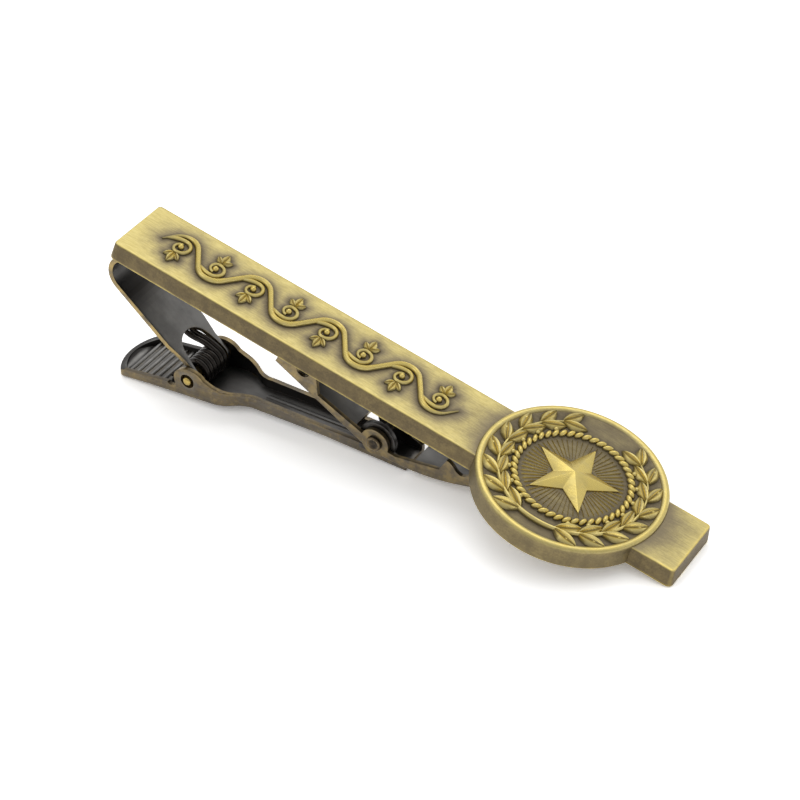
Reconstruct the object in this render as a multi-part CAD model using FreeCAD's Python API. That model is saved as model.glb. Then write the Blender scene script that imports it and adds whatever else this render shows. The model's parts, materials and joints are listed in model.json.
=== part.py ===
import FreeCAD, Part
import math
import os

# A tie clip lying on a table. Everything is built in the bar's own frame (x from the bar's rear end to its
# front, z up from its underside, y across) and is laid down on the table at the end. Millimetres and degrees.

# Front bar, a casting with drafted sides
bar_length = 60.0
bar_width = 7.2
bar_thickness = 1.8
bar_draft = 0.25
bar_corner = 0.35

# Crest: a round plate with a raised rim, a laurel wreath, a ring and a star
crest_from_front = 12.3
crest_radius = 8.8
crest_draft = 0.2
rim_radius = 8.42
rim_width = 0.7
rim_bevel = 0.25
rim_height = 0.3
wreath_radius = 6.75
leaf_length = 2.8
leaf_width = 1.4
leaf_height = 0.7
leaf_rim = 0.2
leaf_peak_share = 0.42
leaf_facets = 4
leaf_lean = 24.0
leaf_stations = 8
leaf_first_angle = 14.0
leaf_last_angle = 142.0
ring_radius = 5.3
ring_width = 0.9
ring_bevel = 0.3
ring_height = 0.4
star_radius = 4.3
star_waist = 1.85
star_rim = 0.2
star_height = 0.95
relief_root = 0.4

# Vine raised along the bar: a waving stem, and in each of its bends a scroll with a bud and three leaves
vine_from_rear = 2.9
vine_bends = 8
vine_bend_pitch = 4.1
vine_swing = 1.7
vine_slope = 55.0
vine_height = 0.42
vine_root = 0.1
vine_chord = 37.0
stem_foot = 0.56
stem_crown = 0.3
scroll_foot = 0.44
scroll_crown = 0.24
scroll_start = (-1.75, 0.35)
scroll_top = 1.05
scroll_radius = 0.85
scroll_inner_radius = 0.575
bud_radius = 0.32
bud_sides = 6
bud_rim = 0.3
bud_height = 0.54
bud_drop = 0.4
vine_leaf_length = 1.45
vine_leaf_width = 0.85
vine_leaf_height = 0.45
vine_leaf_rim = 0.12
vine_leaf_facets = 3
vine_leaf_foot = -0.85
vine_leaf_turns = (-90.0, -42.0, -138.0)
vine_side_leaf = 0.78

# Clip base, one bent strip of sheet; the slot forks its arm into two legs
strip_thickness = 0.5
strip_width = 5.7
strip_reach = 43.5
bend_radius = 2.2
bend_overhang = 0.7
fork_leg = 0.7
fork_taper = 2.0
slot_reach = 3.7
slot_side_gap = 0.12
roll_opening = 16.0

# Pivot pin: its place below the bar, and its tapered ends
pin_radius = 0.55
pin_from_rear = 9.8
pin_drop = 10.0
pin_proud = 0.22
pin_flat = 0.25

# Torsion spring
wire_radius = 0.2
wire_sides = 8
spring_radius = 0.95
spring_pitch = 0.88
spring_full_turns = 3
spring_part_turns = 0.4
spring_seat_gap = 0.06
arm_leg_bend = 1.6
arm_leg_end = 1.5
tray_leg_reach = 2.9

# Lever, a stamped channel; heights and depths are measured from the line through its two pivots
lever_sheet = 0.45
lever_round = 0.4
pivot_span = 20.4
ear_side_gap = 0.15
ear_radius = 1.8
ear_forward = 0.25
ear_hole_gap = 0.2
ear_front_angle = 25.0
ear_rear_angle = 200.0
waist_width = 3.6
waist_start = 2.6
waist_end = 6.6
waist_wall_rear = 0.4
waist_wall_front = 1.1
wall_sweep = 0.45
front_ear_radius = 1.9
front_overhang = 2.8
front_wall = 1.75
tray_reach = 9.1
tray_end_bulge = 1.1
tray_rim_front = 0.9
tray_rim_rear = 1.55
tray_heel = 1.5
tray_heel_bow = 0.26
notch_width = 0.95
notch_depth = 0.4
depth_rear = 2.4
depth_middle = 1.85
depth_front = 2.66
rib_count = 7
rib_pitch = 0.78
rib_width = 0.46
rib_height = 0.2
rib_first = 2.75
bead_width = 0.9
bead_height = 0.25
bead_start = 7.0
bead_end = 17.0

# Rocking jaw, a stamped channel that straddles the lever; measured from its own pivot, and its depths from
# the line of its end teeth
jaw_sheet = 0.4
jaw_round = 0.35
jaw_side_gap = 0.1
jaw_rise = 4.35
jaw_seat_gap = 0.05
jaw_ear_radius = 1.45
jaw_ear_rear_angle = 235.0
jaw_ear_front_angle = 300.0
jaw_ear_neck_angle = -8.0
jaw_ear_band_angle = 170.0
jaw_tail = 11.6
jaw_nose = 11.8
jaw_band = 0.75
jaw_web_rear = 2.6
jaw_web_front = 3.8
tail_edge = 1.85
tail_rake = 0.5
tail_tooth = 0.45
tail_notch_width = 1.44
tail_notch_depth = 1.64
tail_notch_from_pivot = 8.6
tail_plate_front = 6.6
nose_edge = 2.05
nose_sag = 0.8
nose_rake = 0.15
nose_land = 0.85
nose_valley_from_pivot = 8.95
nose_valley_depth = 2.3
nose_valley_bow = 0.3
nose_tooth_from_pivot = 7.2
nose_tooth_depth = 1.5
nose_step_from_pivot = 6.7
nose_step_depth = 3.05
nose_neck_from_pivot = 2.3
nose_neck_depth = 4.55

# Rivet through the jaw and the lever's front ears
rivet_radius = 0.5
rivet_running_gap = 0.06
rivet_head_radius = 0.76
rivet_head = 0.28
rivet_rim = 0.58
rivet_bevel = 0.12
rivet_dimple = 0.2
rivet_dimple_flat = 0.16

# How far a cutting tool runs past what it cuts, and how near two heights count as the same
over = 2.0
same_height = 0.0001

axis_y = FreeCAD.Vector(0, 1, 0)
axis_z = FreeCAD.Vector(0, 0, 1)
zero = FreeCAD.Vector(0, 0, 0)


def polar(radius, degrees):
    return (radius * math.cos(math.radians(degrees)), radius * math.sin(math.radians(degrees)))


def shifted(point, dx, dz):
    return (point[0] + dx, point[1] + dz)


def along(point, degrees, distance):
    return shifted(point, *polar(distance, degrees))


def between(start, end, share):
    return (start[0] + (end[0] - start[0]) * share, start[1] + (end[1] - start[1]) * share)


def bow(start, end, rise):
    # An arc step that stands off its chord by rise, to the left of the way from start to end
    length = math.dist(start, end)
    across = ((start[1] - end[1]) / length, (end[0] - start[0]) / length)
    return (shifted(between(start, end, 0.5), across[0] * rise, across[1] * rise), end)


def ease(start, end):
    # Two arc steps of an S that leaves start and reaches end along x
    middle = between(start, end, 0.5)
    run, climb = middle[0] - start[0], middle[1] - start[1]
    lean = math.atan2(climb, abs(run))
    rise = -math.copysign(math.dist(start, middle) / 2 * math.tan(abs(lean) / 2), run * climb)
    return [bow(start, middle, rise), bow(middle, end, -rise)]


def arch(low, middle, high, lift=0.0):
    # Height of the circle through three points, as a function of x; lift moves it up as a parallel curve
    (ax, az), (bx, bz), (cx, cz) = low, middle, high
    turn = 2 * (ax * (bz - cz) + bx * (cz - az) + cx * (az - bz))
    a2, b2, c2 = ax * ax + az * az, bx * bx + bz * bz, cx * cx + cz * cz
    centre_x = (a2 * (bz - cz) + b2 * (cz - az) + c2 * (az - bz)) / turn
    centre_z = (a2 * (cx - bx) + b2 * (ax - cx) + c2 * (bx - ax)) / turn
    side = 1 if bz > centre_z else -1
    radius = math.dist(low, (centre_x, centre_z)) + side * lift
    return lambda x: centre_z + side * math.sqrt(radius ** 2 - (x - centre_x) ** 2)


def outline(start, steps, place):
    # A closed wire; a step is an end point, or a pair of a point passed on the way and an end point
    edges = []
    here = start
    for step in steps + [start]:
        if isinstance(step[0], tuple):
            via, end = step
            edges.append(Part.Arc(place(*here), place(*via), place(*end)).toShape())
        else:
            end = step
            if math.dist(here, end) > Part.Precision.confusion():
                edges.append(Part.LineSegment(place(*here), place(*end)).toShape())
        here = end
    return Part.Wire(edges)


def side_slab(start, steps, half_width):
    # An outline seen from the side, as thick as the given half width on both sides of the middle
    face = Part.Face(outline(start, steps, lambda x, z: FreeCAD.Vector(x, -half_width, z)))
    return face.extrude(FreeCAD.Vector(0, 2 * half_width, 0))


def plan_slab(start, steps, low, high):
    # An outline seen from above, from one height to another
    face = Part.Face(outline(start, steps, lambda x, y: FreeCAD.Vector(x, y, low)))
    return face.extrude(FreeCAD.Vector(0, 0, high - low))


def turned(start, steps):
    # A half outline of radius and y, turned about the y axis
    face = Part.Face(outline(start, steps, lambda radius, y: FreeCAD.Vector(radius, y, 0)))
    return face.revolve(zero, axis_y, 360)


def rounded(shape, radius, underside):
    # Rounds the two long lower edges of a channel; underside gives its height at x, or None where it ends
    def low(point):
        height = underside(point.x)
        return height is not None and abs(point.z - height) < same_height

    def picked(edge):
        middle = edge.valueAt((edge.FirstParameter + edge.LastParameter) / 2)
        points = [middle] + [vertex.Point for vertex in edge.Vertexes]
        return abs(middle.y) > radius and all(low(point) for point in points)

    return shape.makeFillet(radius, [edge for edge in shape.Edges if picked(edge)])


def cross_rod(radius, x, half_width):
    return Part.makeCylinder(radius, 2 * half_width, FreeCAD.Vector(x, -half_width, 0), axis_y)


# Widths, from the coil outwards: coil, slot, fork, and the lever's ears outside the fork
coil_length = spring_pitch * (spring_full_turns + spring_part_turns)
slot_width = coil_length + 2 * (wire_radius + slot_side_gap)
fork_width = slot_width + 2 * fork_leg
ear_width = fork_width + 2 * (ear_side_gap + lever_sheet)
jaw_inner_width = waist_width + 2 * jaw_side_gap
jaw_width = jaw_inner_width + 2 * jaw_sheet

# Where the pivots lie; the jaw's teeth meet the strip when the clip is closed
pin = (pin_from_rear, -pin_drop)
jaw_pivot_drop = strip_thickness + jaw_seat_gap + jaw_rise
lever_angle = math.degrees(math.asin((pin_drop - jaw_pivot_drop) / pivot_span))
jaw_pivot = along(pin, lever_angle, pivot_span)

# The arm's upper face is a common tangent of the bend's inside and of the sheet rolled over the pin
bend_centre = (bend_radius - bend_overhang, -bend_radius)
bend_inside = bend_radius - strip_thickness
roll_radius = pin_radius + strip_thickness
centres_angle = math.degrees(math.atan2(pin[1] - bend_centre[1], pin[0] - bend_centre[0]))
arm_lean = math.asin((bend_inside + roll_radius) / math.dist(bend_centre, pin))
arm_angle = centres_angle + math.degrees(arm_lean)
arm_normal = arm_angle + 90

# The lever's arched underside, and the same arch one sheet higher, its floor
lever_front = pivot_span + front_overhang
lever_heel = tray_heel - tray_reach
lever_middle = (lever_front + lever_heel) / 2
lever_arch = ((lever_heel, -depth_rear), (lever_middle, -depth_middle), (lever_front, -depth_front))
lever_under = arch(*lever_arch)
lever_floor = arch(*lever_arch, lift=lever_sheet)


def front_bar():
    def frame(grow, z):
        # The bar's outline with rounded corners, at one height
        x1, y1 = bar_length / 2 + grow, bar_width / 2 + grow
        corners = [(x1, -y1), (x1, y1), (-x1, y1), (-x1, -y1)]
        runs = [(0, 1), (-1, 0), (0, -1), (1, 0)]
        steps = []
        for k, corner in enumerate(corners):
            before, after = runs[k - 1], runs[k]
            into = shifted(corner, -before[0] * bar_corner, -before[1] * bar_corner)
            out = shifted(corner, after[0] * bar_corner, after[1] * bar_corner)
            steps += [into, bow(into, out, -bar_corner * (1 - math.sqrt(0.5)))]
        start = steps.pop()[1]
        steps.append(bow(steps[-1], start, -bar_corner * (1 - math.sqrt(0.5))))
        return outline(start, steps, lambda x, y: FreeCAD.Vector(x + bar_length / 2, y, z))

    bar = Part.makeLoft([frame(bar_draft, 0), frame(0, bar_thickness)], True, True)
    plate = Part.makeCone(crest_radius + crest_draft, crest_radius, bar_thickness)
    rim = ring(rim_radius, rim_width, rim_bevel, rim_height)
    crest = [plate, rim, ring(ring_radius, ring_width, ring_bevel, ring_height), star()] + wreath()
    for shape in crest:
        shape.translate(FreeCAD.Vector(bar_length - crest_from_front, 0, 0))
    return bar.multiFuse(crest + vine()).removeSplitter()


def ring(radius, width, bevel, height):
    # A raised ring with bevelled edges
    inner, outer = radius - width / 2, radius + width / 2
    root, top = bar_thickness - relief_root, bar_thickness + height
    profile = [(outer, root), (outer, bar_thickness), (outer - bevel, top), (inner + bevel, top),
               (inner, bar_thickness)]
    face = Part.Face(outline((inner, root), profile, lambda radius, z: FreeCAD.Vector(radius, 0, z)))
    return face.revolve(zero, axis_z, 360)


def faceted(points, rim, peak, height):
    # A raised form on the plate: upright sides up to a rim, and facets from there to a peak
    def ring(z):
        return [FreeCAD.Vector(x, y, bar_thickness + z) for x, y in points]

    low, high = ring(-relief_root), ring(rim)
    top = FreeCAD.Vector(*peak, bar_thickness + height)
    faces = [Part.Face(Part.makePolygon(low + [low[0]]))]
    for k in range(-1, len(points) - 1):
        faces.append(Part.Face(Part.makePolygon([low[k], low[k + 1], high[k + 1], high[k], low[k]])))
        faces.append(Part.Face(Part.makePolygon([high[k], high[k + 1], top, high[k]])))
    return Part.makeSolid(Part.makeShell(faces))


def star():
    points = [polar(radius, 90 + 36 * k) for k, radius in enumerate([star_radius, star_waist] * 5)]
    return faceted(points, star_rim, (0, 0), star_height)


def leaf(length, width, rim, height, facets):
    # A pointed leaf along x from its stalk, with a peak near its middle
    def edge(share, side):
        return (length * share, side * width * 2 * share * (1 - share))

    shares = [k / facets for k in range(facets + 1)]
    points = [edge(share, -1) for share in shares] + [edge(share, 1) for share in shares[-2:0:-1]]
    return faceted(points, rim, (length * leaf_peak_share, 0), height)


def copied(pattern, degrees, place):
    # A copy of a raised form, turned on the plate and set down at a place on it
    shape = pattern.copy()
    shape.rotate(zero, axis_z, degrees)
    shape.translate(FreeCAD.Vector(*place, 0))
    return shape


def wreath():
    # Two sprays of leaves grow from the near side of the plate round both sides of it, leaves in pairs
    pattern = leaf(leaf_length, leaf_width, leaf_rim, leaf_height, leaf_facets)
    step = (leaf_last_angle - leaf_first_angle) / (leaf_stations - 1)
    leaves = []
    for side in (1, -1):
        for k in range(leaf_stations):
            angle = -90 + side * (leaf_first_angle + step * k)
            for lean in (leaf_lean, -leaf_lean):
                leaves.append(copied(pattern, angle + side * 90 + lean, polar(wreath_radius, angle)))
    return leaves


def trail(start, heading, moves, offset):
    # Outline points to the left of a path of runs (length, 0) and bends (radius, turn), its end and last
    # heading; a bend is taken in chords
    here = start
    steps = [along(here, heading + 90, offset)]
    for reach, turn in moves:
        if turn:
            centre = along(here, heading + math.copysign(90, turn), reach)
            spoke = heading - math.copysign(90, turn)
            side = reach - math.copysign(offset, turn)
            chords = math.ceil(abs(turn) / vine_chord)
            steps += [along(centre, spoke + turn * (k + 1) / chords, side) for k in range(chords)]
            here = along(centre, spoke + turn, reach)
            heading += turn
        else:
            here = along(here, heading, reach)
            steps.append(along(here, heading + 90, offset))
    return steps, here, heading


def raised_band(start, heading, moves, foot, crown):
    # A band along such a path, narrower at its crown than at its foot
    back = [(reach, -turn) for reach, turn in reversed(moves)]

    def rim(width, z):
        there, end, last = trail(start, heading, moves, width / 2)
        return outline(there[0], there[1:] + trail(end, last + 180, back, width / 2)[0],
                       lambda x, y: FreeCAD.Vector(x, y, bar_thickness + z))

    root = foot + (foot - crown) * vine_root / vine_height
    return Part.makeLoft([rim(root, -vine_root), rim(crown, vine_height)], True, True)


def vine():
    # The stem crosses the bar's middle at vine_slope on straight runs, and bends at the tops of its swing
    quarter = vine_bend_pitch / 2
    rise, fall = math.tan(math.radians(vine_slope)), math.cos(math.radians(vine_slope))
    bend = (quarter * rise - vine_swing) / (math.sin(math.radians(vine_slope)) * rise - (1 - fall))
    run = (quarter - bend * math.sin(math.radians(vine_slope))) / fall
    moves = []
    for k in range(vine_bends):
        side = -1 if k % 2 else 1
        moves += [(run, 0), (bend, -2 * vine_slope * side), (run, 0)]
    shapes = [raised_band((vine_from_rear, 0), vine_slope, moves, stem_foot, stem_crown)]

    # Scroll under the first bend: a long arc up to its top, then two half turns inwards
    drop = scroll_top - scroll_start[1]
    sweep_radius = (scroll_start[0] ** 2 + drop ** 2) / (2 * drop)
    sweep = math.degrees(math.asin(-scroll_start[0] / sweep_radius))
    scroll_moves = [(sweep_radius, -sweep), (scroll_radius, -180), (scroll_inner_radius, -180)]
    end = trail(scroll_start, sweep, scroll_moves, 0)[1]
    bud_points = [polar(bud_radius, 360 * k / bud_sides) for k in range(bud_sides)]
    bud = copied(faceted(bud_points, bud_rim, (0, 0), bud_height), 0, shifted(end, 0, -bud_drop))
    pattern = [raised_band(scroll_start, sweep, scroll_moves, scroll_foot, scroll_crown), bud]
    for k, turn in enumerate(vine_leaf_turns):
        size = vine_side_leaf if k else 1.0
        length, width = vine_leaf_length * size, vine_leaf_width * size
        shape = leaf(length, width, vine_leaf_rim, vine_leaf_height, vine_leaf_facets)
        pattern.append(copied(shape, turn, (0, vine_leaf_foot)))
    for k in range(vine_bends):
        for shape in pattern:
            if k % 2:
                shape = shape.mirror(zero, axis_y)
            shapes.append(copied(shape, 0, (vine_from_rear + vine_bend_pitch * (k + 0.5), 0)))
    return shapes


def clip_base():
    # The strip from the side: leaf, bend, arm, and the end rolled round the pin
    leave = arm_normal + 180
    bend_middle = (90 + leave) / 2
    roll_end = arm_normal + math.degrees(math.acos(pin_radius / roll_radius)) + roll_opening
    roll_middle = (arm_normal + roll_end - 360) / 2
    sheet = side_slab((strip_reach, 0), [
        (strip_reach, -strip_thickness),
        along(bend_centre, 90, bend_inside),
        (along(bend_centre, bend_middle, bend_inside), along(bend_centre, leave, bend_inside)),
        along(pin, arm_normal, roll_radius),
        (along(pin, roll_middle, roll_radius), along(pin, roll_end, roll_radius)),
        along(pin, roll_end, pin_radius),
        (along(pin, roll_middle, pin_radius), along(pin, arm_normal, pin_radius)),
        along(bend_centre, leave, bend_radius),
        (along(bend_centre, bend_middle, bend_radius), along(bend_centre, 90, bend_radius)),
    ], strip_width / 2)

    # The slot and the tapered flanks, drawn on the arm with x from the pin towards the bend
    deep = roll_radius + over
    slot_half, fork_half, strip_half = slot_width / 2, fork_width / 2, strip_width / 2
    shoulder = slot_reach - slot_half
    cuts = [plan_slab((shoulder, -slot_half), [
        ((slot_reach, 0), (shoulder, slot_half)), (-deep, slot_half), (-deep, -slot_half)], -deep, deep)]
    for side in (1, -1):
        far = side * (strip_half + over)
        flank = [(slot_reach, side * strip_half), (slot_reach, far), (-deep, far), (-deep, side * fork_half)]
        cuts.append(plan_slab((slot_reach - fork_taper, side * fork_half), flank, -deep, deep))
    for cut in cuts:
        cut.rotate(zero, axis_y, 180 - arm_angle)
        cut.translate(FreeCAD.Vector(pin[0], 0, pin[1]))
        sheet = sheet.cut(cut)
    return sheet


def pivot_pin():
    seat = ear_width / 2
    end = seat + pin_proud
    shape = turned((0, -end), [
        (pin_flat, -end), (pin_radius, -seat), (pin_radius, seat), (pin_flat, end), (0, end)])
    shape.translate(FreeCAD.Vector(pin[0], 0, pin[1]))
    return shape


def tangent_arc(start, corner, end):
    # The arc from start to end whose tangents meet at corner
    middle = (start + end) * 0.5
    half_chord = (end - start).Length / 2
    rise = (corner - middle).Length
    via = middle + (corner - middle) * (half_chord * math.tan(math.atan2(rise, half_chord) / 2) / rise)
    return Part.Arc(start, via, end)


def biarc(start, start_way, end, end_way):
    # Two arcs that leave start along start_way and reach end along end_way
    chord = end - start
    ahead = chord.dot(start_way + end_way)
    bend = 2 * (1 - start_way.dot(end_way))
    reach = (math.sqrt(ahead ** 2 + bend * chord.dot(chord)) - ahead) / bend
    first, second = start + start_way * reach, end - end_way * reach
    joint = (first + second) * 0.5
    return [tangent_arc(start, first, joint), tangent_arc(joint, second, end)]


def torsion_spring():
    # Ways of the two legs, each a tangent from its seat to the coil: the arm's leg runs behind the arm past
    # the slot's edge, the tray's leg lies on the first rib of the thumb tray
    slot_half = slot_width / 2
    wire_side = (coil_length / 2 + wire_radius) / slot_half
    slot_edge = slot_reach - slot_half + slot_half * math.sqrt(1 - wire_side ** 2)
    arm_seat = (slot_edge, pin_radius - wire_radius - spring_seat_gap)
    arm_reach = math.hypot(*arm_seat)
    arm_way = 180 + arm_angle
    arm_seat_angle = math.degrees(math.atan2(arm_seat[1], arm_seat[0]))
    arm_leg_way = arm_way - arm_seat_angle + math.degrees(math.asin(spring_radius / arm_reach))
    tray_seat = (-tray_leg_reach, lever_floor(-tray_leg_reach) + rib_height + wire_radius + spring_seat_gap)
    tray_reach_length = math.hypot(*tray_seat)
    tray_seat_angle = math.degrees(math.atan2(-tray_seat[1], -tray_seat[0]))
    tray_leg_way = lever_angle + tray_seat_angle - math.degrees(math.asin(spring_radius / tray_reach_length))

    def way(degrees, slope=0.0):
        x, z = polar(1, degrees)
        return FreeCAD.Vector(x, slope, z).normalize()

    # Stations half a turn apart on the coil; its two ends run square to the pin
    first = tray_leg_way - 90
    last = arm_leg_way - 90 + 360 * spring_full_turns
    halves = round((last - first) / 180)
    slope = coil_length / (math.radians(last - first) * spring_radius)
    stations = []
    for k in range(halves + 1):
        angle = first + (last - first) * k / halves
        x, z = along(pin, angle, spring_radius)
        spot = FreeCAD.Vector(x, coil_length * (k / halves - 0.5), z)
        stations.append((spot, way(angle + 90, slope if 0 < k < halves else 0.0)))

    tray_end = stations[0][0] - way(tray_leg_way) * math.sqrt(tray_reach_length ** 2 - spring_radius ** 2)
    edges = [Part.LineSegment(tray_end, stations[0][0])]
    for here, there in zip(stations, stations[1:]):
        edges += biarc(*here, *there)
    leave = stations[-1][0]
    corner = leave + way(arm_leg_way) * math.sqrt(arm_reach ** 2 - spring_radius ** 2)
    setback = arm_leg_bend * math.tan(math.radians(arm_leg_way - arm_way) / 2)
    bend_start = corner - way(arm_leg_way) * setback
    bend_end = corner + way(arm_way) * setback
    edges.append(Part.LineSegment(leave, bend_start))
    edges.append(tangent_arc(bend_start, corner, bend_end))
    edges.append(Part.LineSegment(bend_end, bend_end + way(arm_way) * arm_leg_end))

    path = Part.Wire([edge.toShape() for edge in edges])
    corners = [polar(wire_radius, 360 * k / wire_sides) for k in range(wire_sides)]
    spots = [tray_end + axis_y * y + way(tray_leg_way + 90) * z for y, z in corners]
    section = Part.makePolygon(spots + [spots[0]])
    tube = path.makePipeShell([section], True, False)
    share = tube.Volume / (Part.Face(section).Area * path.Length)
    print("spring: least gap to itself %.3f" % gap_to_itself(path))
    print("spring: volume %.4f of its section times its length" % share)
    return tube


def gap_to_itself(path):
    # Least distance between points of the wire that are half a turn or more apart along it, less the wire
    spacing = wire_radius / 3
    points = path.discretize(Distance=spacing)
    apart = round(math.pi * spring_radius / spacing)
    least = min(here.distanceToPoint(there) for k, here in enumerate(points) for there in points[k + apart:])
    return least - 2 * wire_radius


def lever_plan(inset, high):
    # The lever's outline from above: rounded tray, ears and narrow waist
    ear, waist = ear_width / 2 - inset, waist_width / 2 - inset
    front = lever_front + over
    corner = tray_end_bulge - tray_reach + inset
    return plan_slab((corner, -ear), [
        (waist_start, -ear),
        *ease((waist_start, -ear), (waist_end, -waist)),
        (front, -waist),
        (front, waist),
        (waist_end, waist),
        *ease((waist_end, waist), (waist_start, ear)),
        (corner, ear),
        ((inset - tray_reach, 0), (corner, -ear)),
    ], -high, high)


def lever():
    tall = front_ear_radius + depth_front + over
    heel = (lever_heel, -depth_rear)
    tip = (-tray_reach, -tray_rim_rear)
    ear_centre = (ear_forward, 0)
    ear_front = along(ear_centre, ear_front_angle, ear_radius)
    ear_rear = along(ear_centre, ear_rear_angle, ear_radius)
    rim_front = (ear_rear[0] - notch_width, -tray_rim_front)
    knee = (waist_end, -waist_wall_rear)
    swell = math.sqrt(front_ear_radius ** 2 - waist_wall_front ** 2)
    side = side_slab(heel, [
        ((lever_middle, -depth_middle), (lever_front, -depth_front)),
        (lever_front, -front_wall),
        (pivot_span + swell, -waist_wall_front),
        ((pivot_span, front_ear_radius), (pivot_span - swell, -waist_wall_front)),
        knee,
        bow(knee, ear_front, wall_sweep),
        (along(ear_centre, 90, ear_radius), ear_rear),
        bow(ear_rear, rim_front, notch_depth),
        tip,
        bow(tip, heel, -tray_heel_bow),
    ], ear_width)
    channel = rounded(side.common(lever_plan(0, tall)), lever_round, lever_under)

    # The room inside the channel: above the floor and one sheet in from the outline
    room_tip = (lever_sheet - tray_reach, -tray_rim_rear)
    room_heel = (lever_heel, lever_floor(lever_heel))
    room_front = lever_front + over
    room = side_slab(room_heel, [
        ((lever_middle, lever_floor(lever_middle)), (room_front, lever_floor(room_front))),
        (room_front, tall),
        (room_tip[0], tall),
        room_tip,
        bow(room_tip, room_heel, -tray_heel_bow),
    ], ear_width)
    channel = channel.cut(room.common(lever_plan(lever_sheet, tall)))
    channel = channel.multiFuse(tray_ribs() + [floor_bead()])
    channel = channel.cut(cross_rod(pin_radius + ear_hole_gap, 0, ear_width))
    channel = channel.cut(cross_rod(rivet_radius, pivot_span, ear_width))
    channel.rotate(zero, axis_y, -lever_angle)
    channel.translate(FreeCAD.Vector(pin[0], 0, pin[1]))
    return channel


def tray_ribs():
    # Half-round ribs across the floor of the thumb tray, rooted in the floor
    half_length = ear_width / 2 - lever_sheet / 2
    ribs = []
    for k in range(rib_count):
        x = -rib_first - rib_pitch * k
        floor = lever_floor(x)
        left, right = (x - rib_width / 2, floor), (x + rib_width / 2, floor)
        root = [shifted(right, 0, -lever_sheet / 2), right, bow(right, left, -rib_height)]
        ribs.append(side_slab(shifted(left, 0, -lever_sheet / 2), root, half_length))
    return ribs


def floor_bead():
    # A stiffening bead along the floor of the waist, round across it and rooted in the floor
    radius = (bead_height ** 2 + (bead_width / 2) ** 2) / (2 * bead_height)
    low, high = [FreeCAD.Vector(x, 0, lever_floor(x) + bead_height - radius) for x in (bead_start, bead_end)]
    rod = Part.makeCylinder(radius, (high - low).Length, low, high - low)
    root = [(x, lever_floor(x) - lever_sheet / 2) for x in (bead_start - over, bead_end + over)]
    top = side_slab(root[0], [root[1], shifted(root[1], 0, radius), shifted(root[0], 0, radius)], bead_width)
    return rod.common(top)


def rocker_jaw():
    def level(x, depth):
        return (x, jaw_rise - depth)

    # Lower edges: straight along the rear arm, sagging along the front one
    ear_rear = polar(jaw_ear_radius, jaw_ear_rear_angle)
    ear_front = polar(jaw_ear_radius, jaw_ear_front_angle)
    tail_heel = level(-jaw_tail, tail_edge)
    nose_toe = level(jaw_nose, nose_edge)
    sag = bow(ear_front, nose_toe, -nose_sag)
    nose_under, nose_web = arch(ear_front, *sag), arch(ear_front, *sag, lift=jaw_sheet)
    tail_slope = (tail_heel[1] - ear_rear[1]) / (tail_heel[0] - ear_rear[0])

    def tail_line(x, lift):
        return (x, tail_heel[1] + tail_slope * (x + jaw_tail) + lift * math.hypot(1, tail_slope))

    # Upper edges, from the nose to the tail: end tooth, valley, tooth, neck, ear, band, tail teeth
    nose_top = level(jaw_nose - nose_rake, 0)
    nose_back = shifted(nose_top, -nose_land, 0)
    valley = level(nose_valley_from_pivot, nose_valley_depth)
    tooth = level(nose_tooth_from_pivot, nose_tooth_depth)
    notch_half = tail_notch_width / 2
    notch_floor = tail_notch_depth - notch_half
    notch_front, notch_rear = notch_half - tail_notch_from_pivot, -notch_half - tail_notch_from_pivot
    block = side_slab(ear_rear, [
        ((0, -jaw_ear_radius), ear_front),
        sag,
        nose_top,
        nose_back,
        bow(nose_back, valley, nose_valley_bow),
        *ease(valley, tooth),
        level(nose_step_from_pivot, nose_step_depth),
        level(nose_neck_from_pivot, nose_neck_depth),
        polar(jaw_ear_radius, jaw_ear_neck_angle),
        ((0, jaw_ear_radius), polar(jaw_ear_radius, jaw_ear_band_angle)),
        tail_line(-tail_plate_front, jaw_band),
        level(notch_front + tail_tooth, 0),
        level(notch_front, 0),
        level(notch_front, notch_floor),
        (level(-tail_notch_from_pivot, tail_notch_depth), level(notch_rear, notch_floor)),
        level(notch_rear, 0),
        level(tail_rake - jaw_tail, 0),
        tail_heel,
    ], jaw_width / 2)

    block = rounded(block, jaw_round, lambda x: tail_line(x, 0)[1] if x < 0 else nose_under(x))

    # The room inside: above a web one sheet thick, and right through round the pivot
    web_middle = (jaw_web_front + jaw_nose) / 2
    room = side_slab(tail_line(-jaw_tail - over, jaw_sheet), [
        tail_line(-jaw_web_rear, jaw_sheet),
        (-jaw_web_rear, -jaw_rise),
        (jaw_web_front, -jaw_rise),
        (jaw_web_front, nose_web(jaw_web_front)),
        ((web_middle, nose_web(web_middle)), (jaw_nose + jaw_sheet, nose_web(jaw_nose + jaw_sheet))),
        level(jaw_nose + jaw_sheet, -over),
        level(-jaw_tail - over, -over),
    ], jaw_inner_width / 2)
    jaw = block.cut(room).cut(cross_rod(rivet_radius + rivet_running_gap, 0, jaw_width))
    jaw.translate(FreeCAD.Vector(jaw_pivot[0], 0, jaw_pivot[1]))
    return jaw


def rocker_pin():
    # A rivet with a dimpled head at each end
    seat = jaw_width / 2 + rivet_running_gap
    end = seat + rivet_head
    half = [
        (rivet_radius, seat),
        (rivet_head_radius, seat),
        (rivet_head_radius, end - rivet_bevel),
        (rivet_rim, end),
        (rivet_dimple_flat, end - rivet_dimple),
        (0, end - rivet_dimple),
    ]
    low, *mirrored = [(radius, -y) for radius, y in reversed(half)]
    shape = turned(low, mirrored + half)
    shape.translate(FreeCAD.Vector(jaw_pivot[0], 0, jaw_pivot[1]))
    return shape


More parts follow.
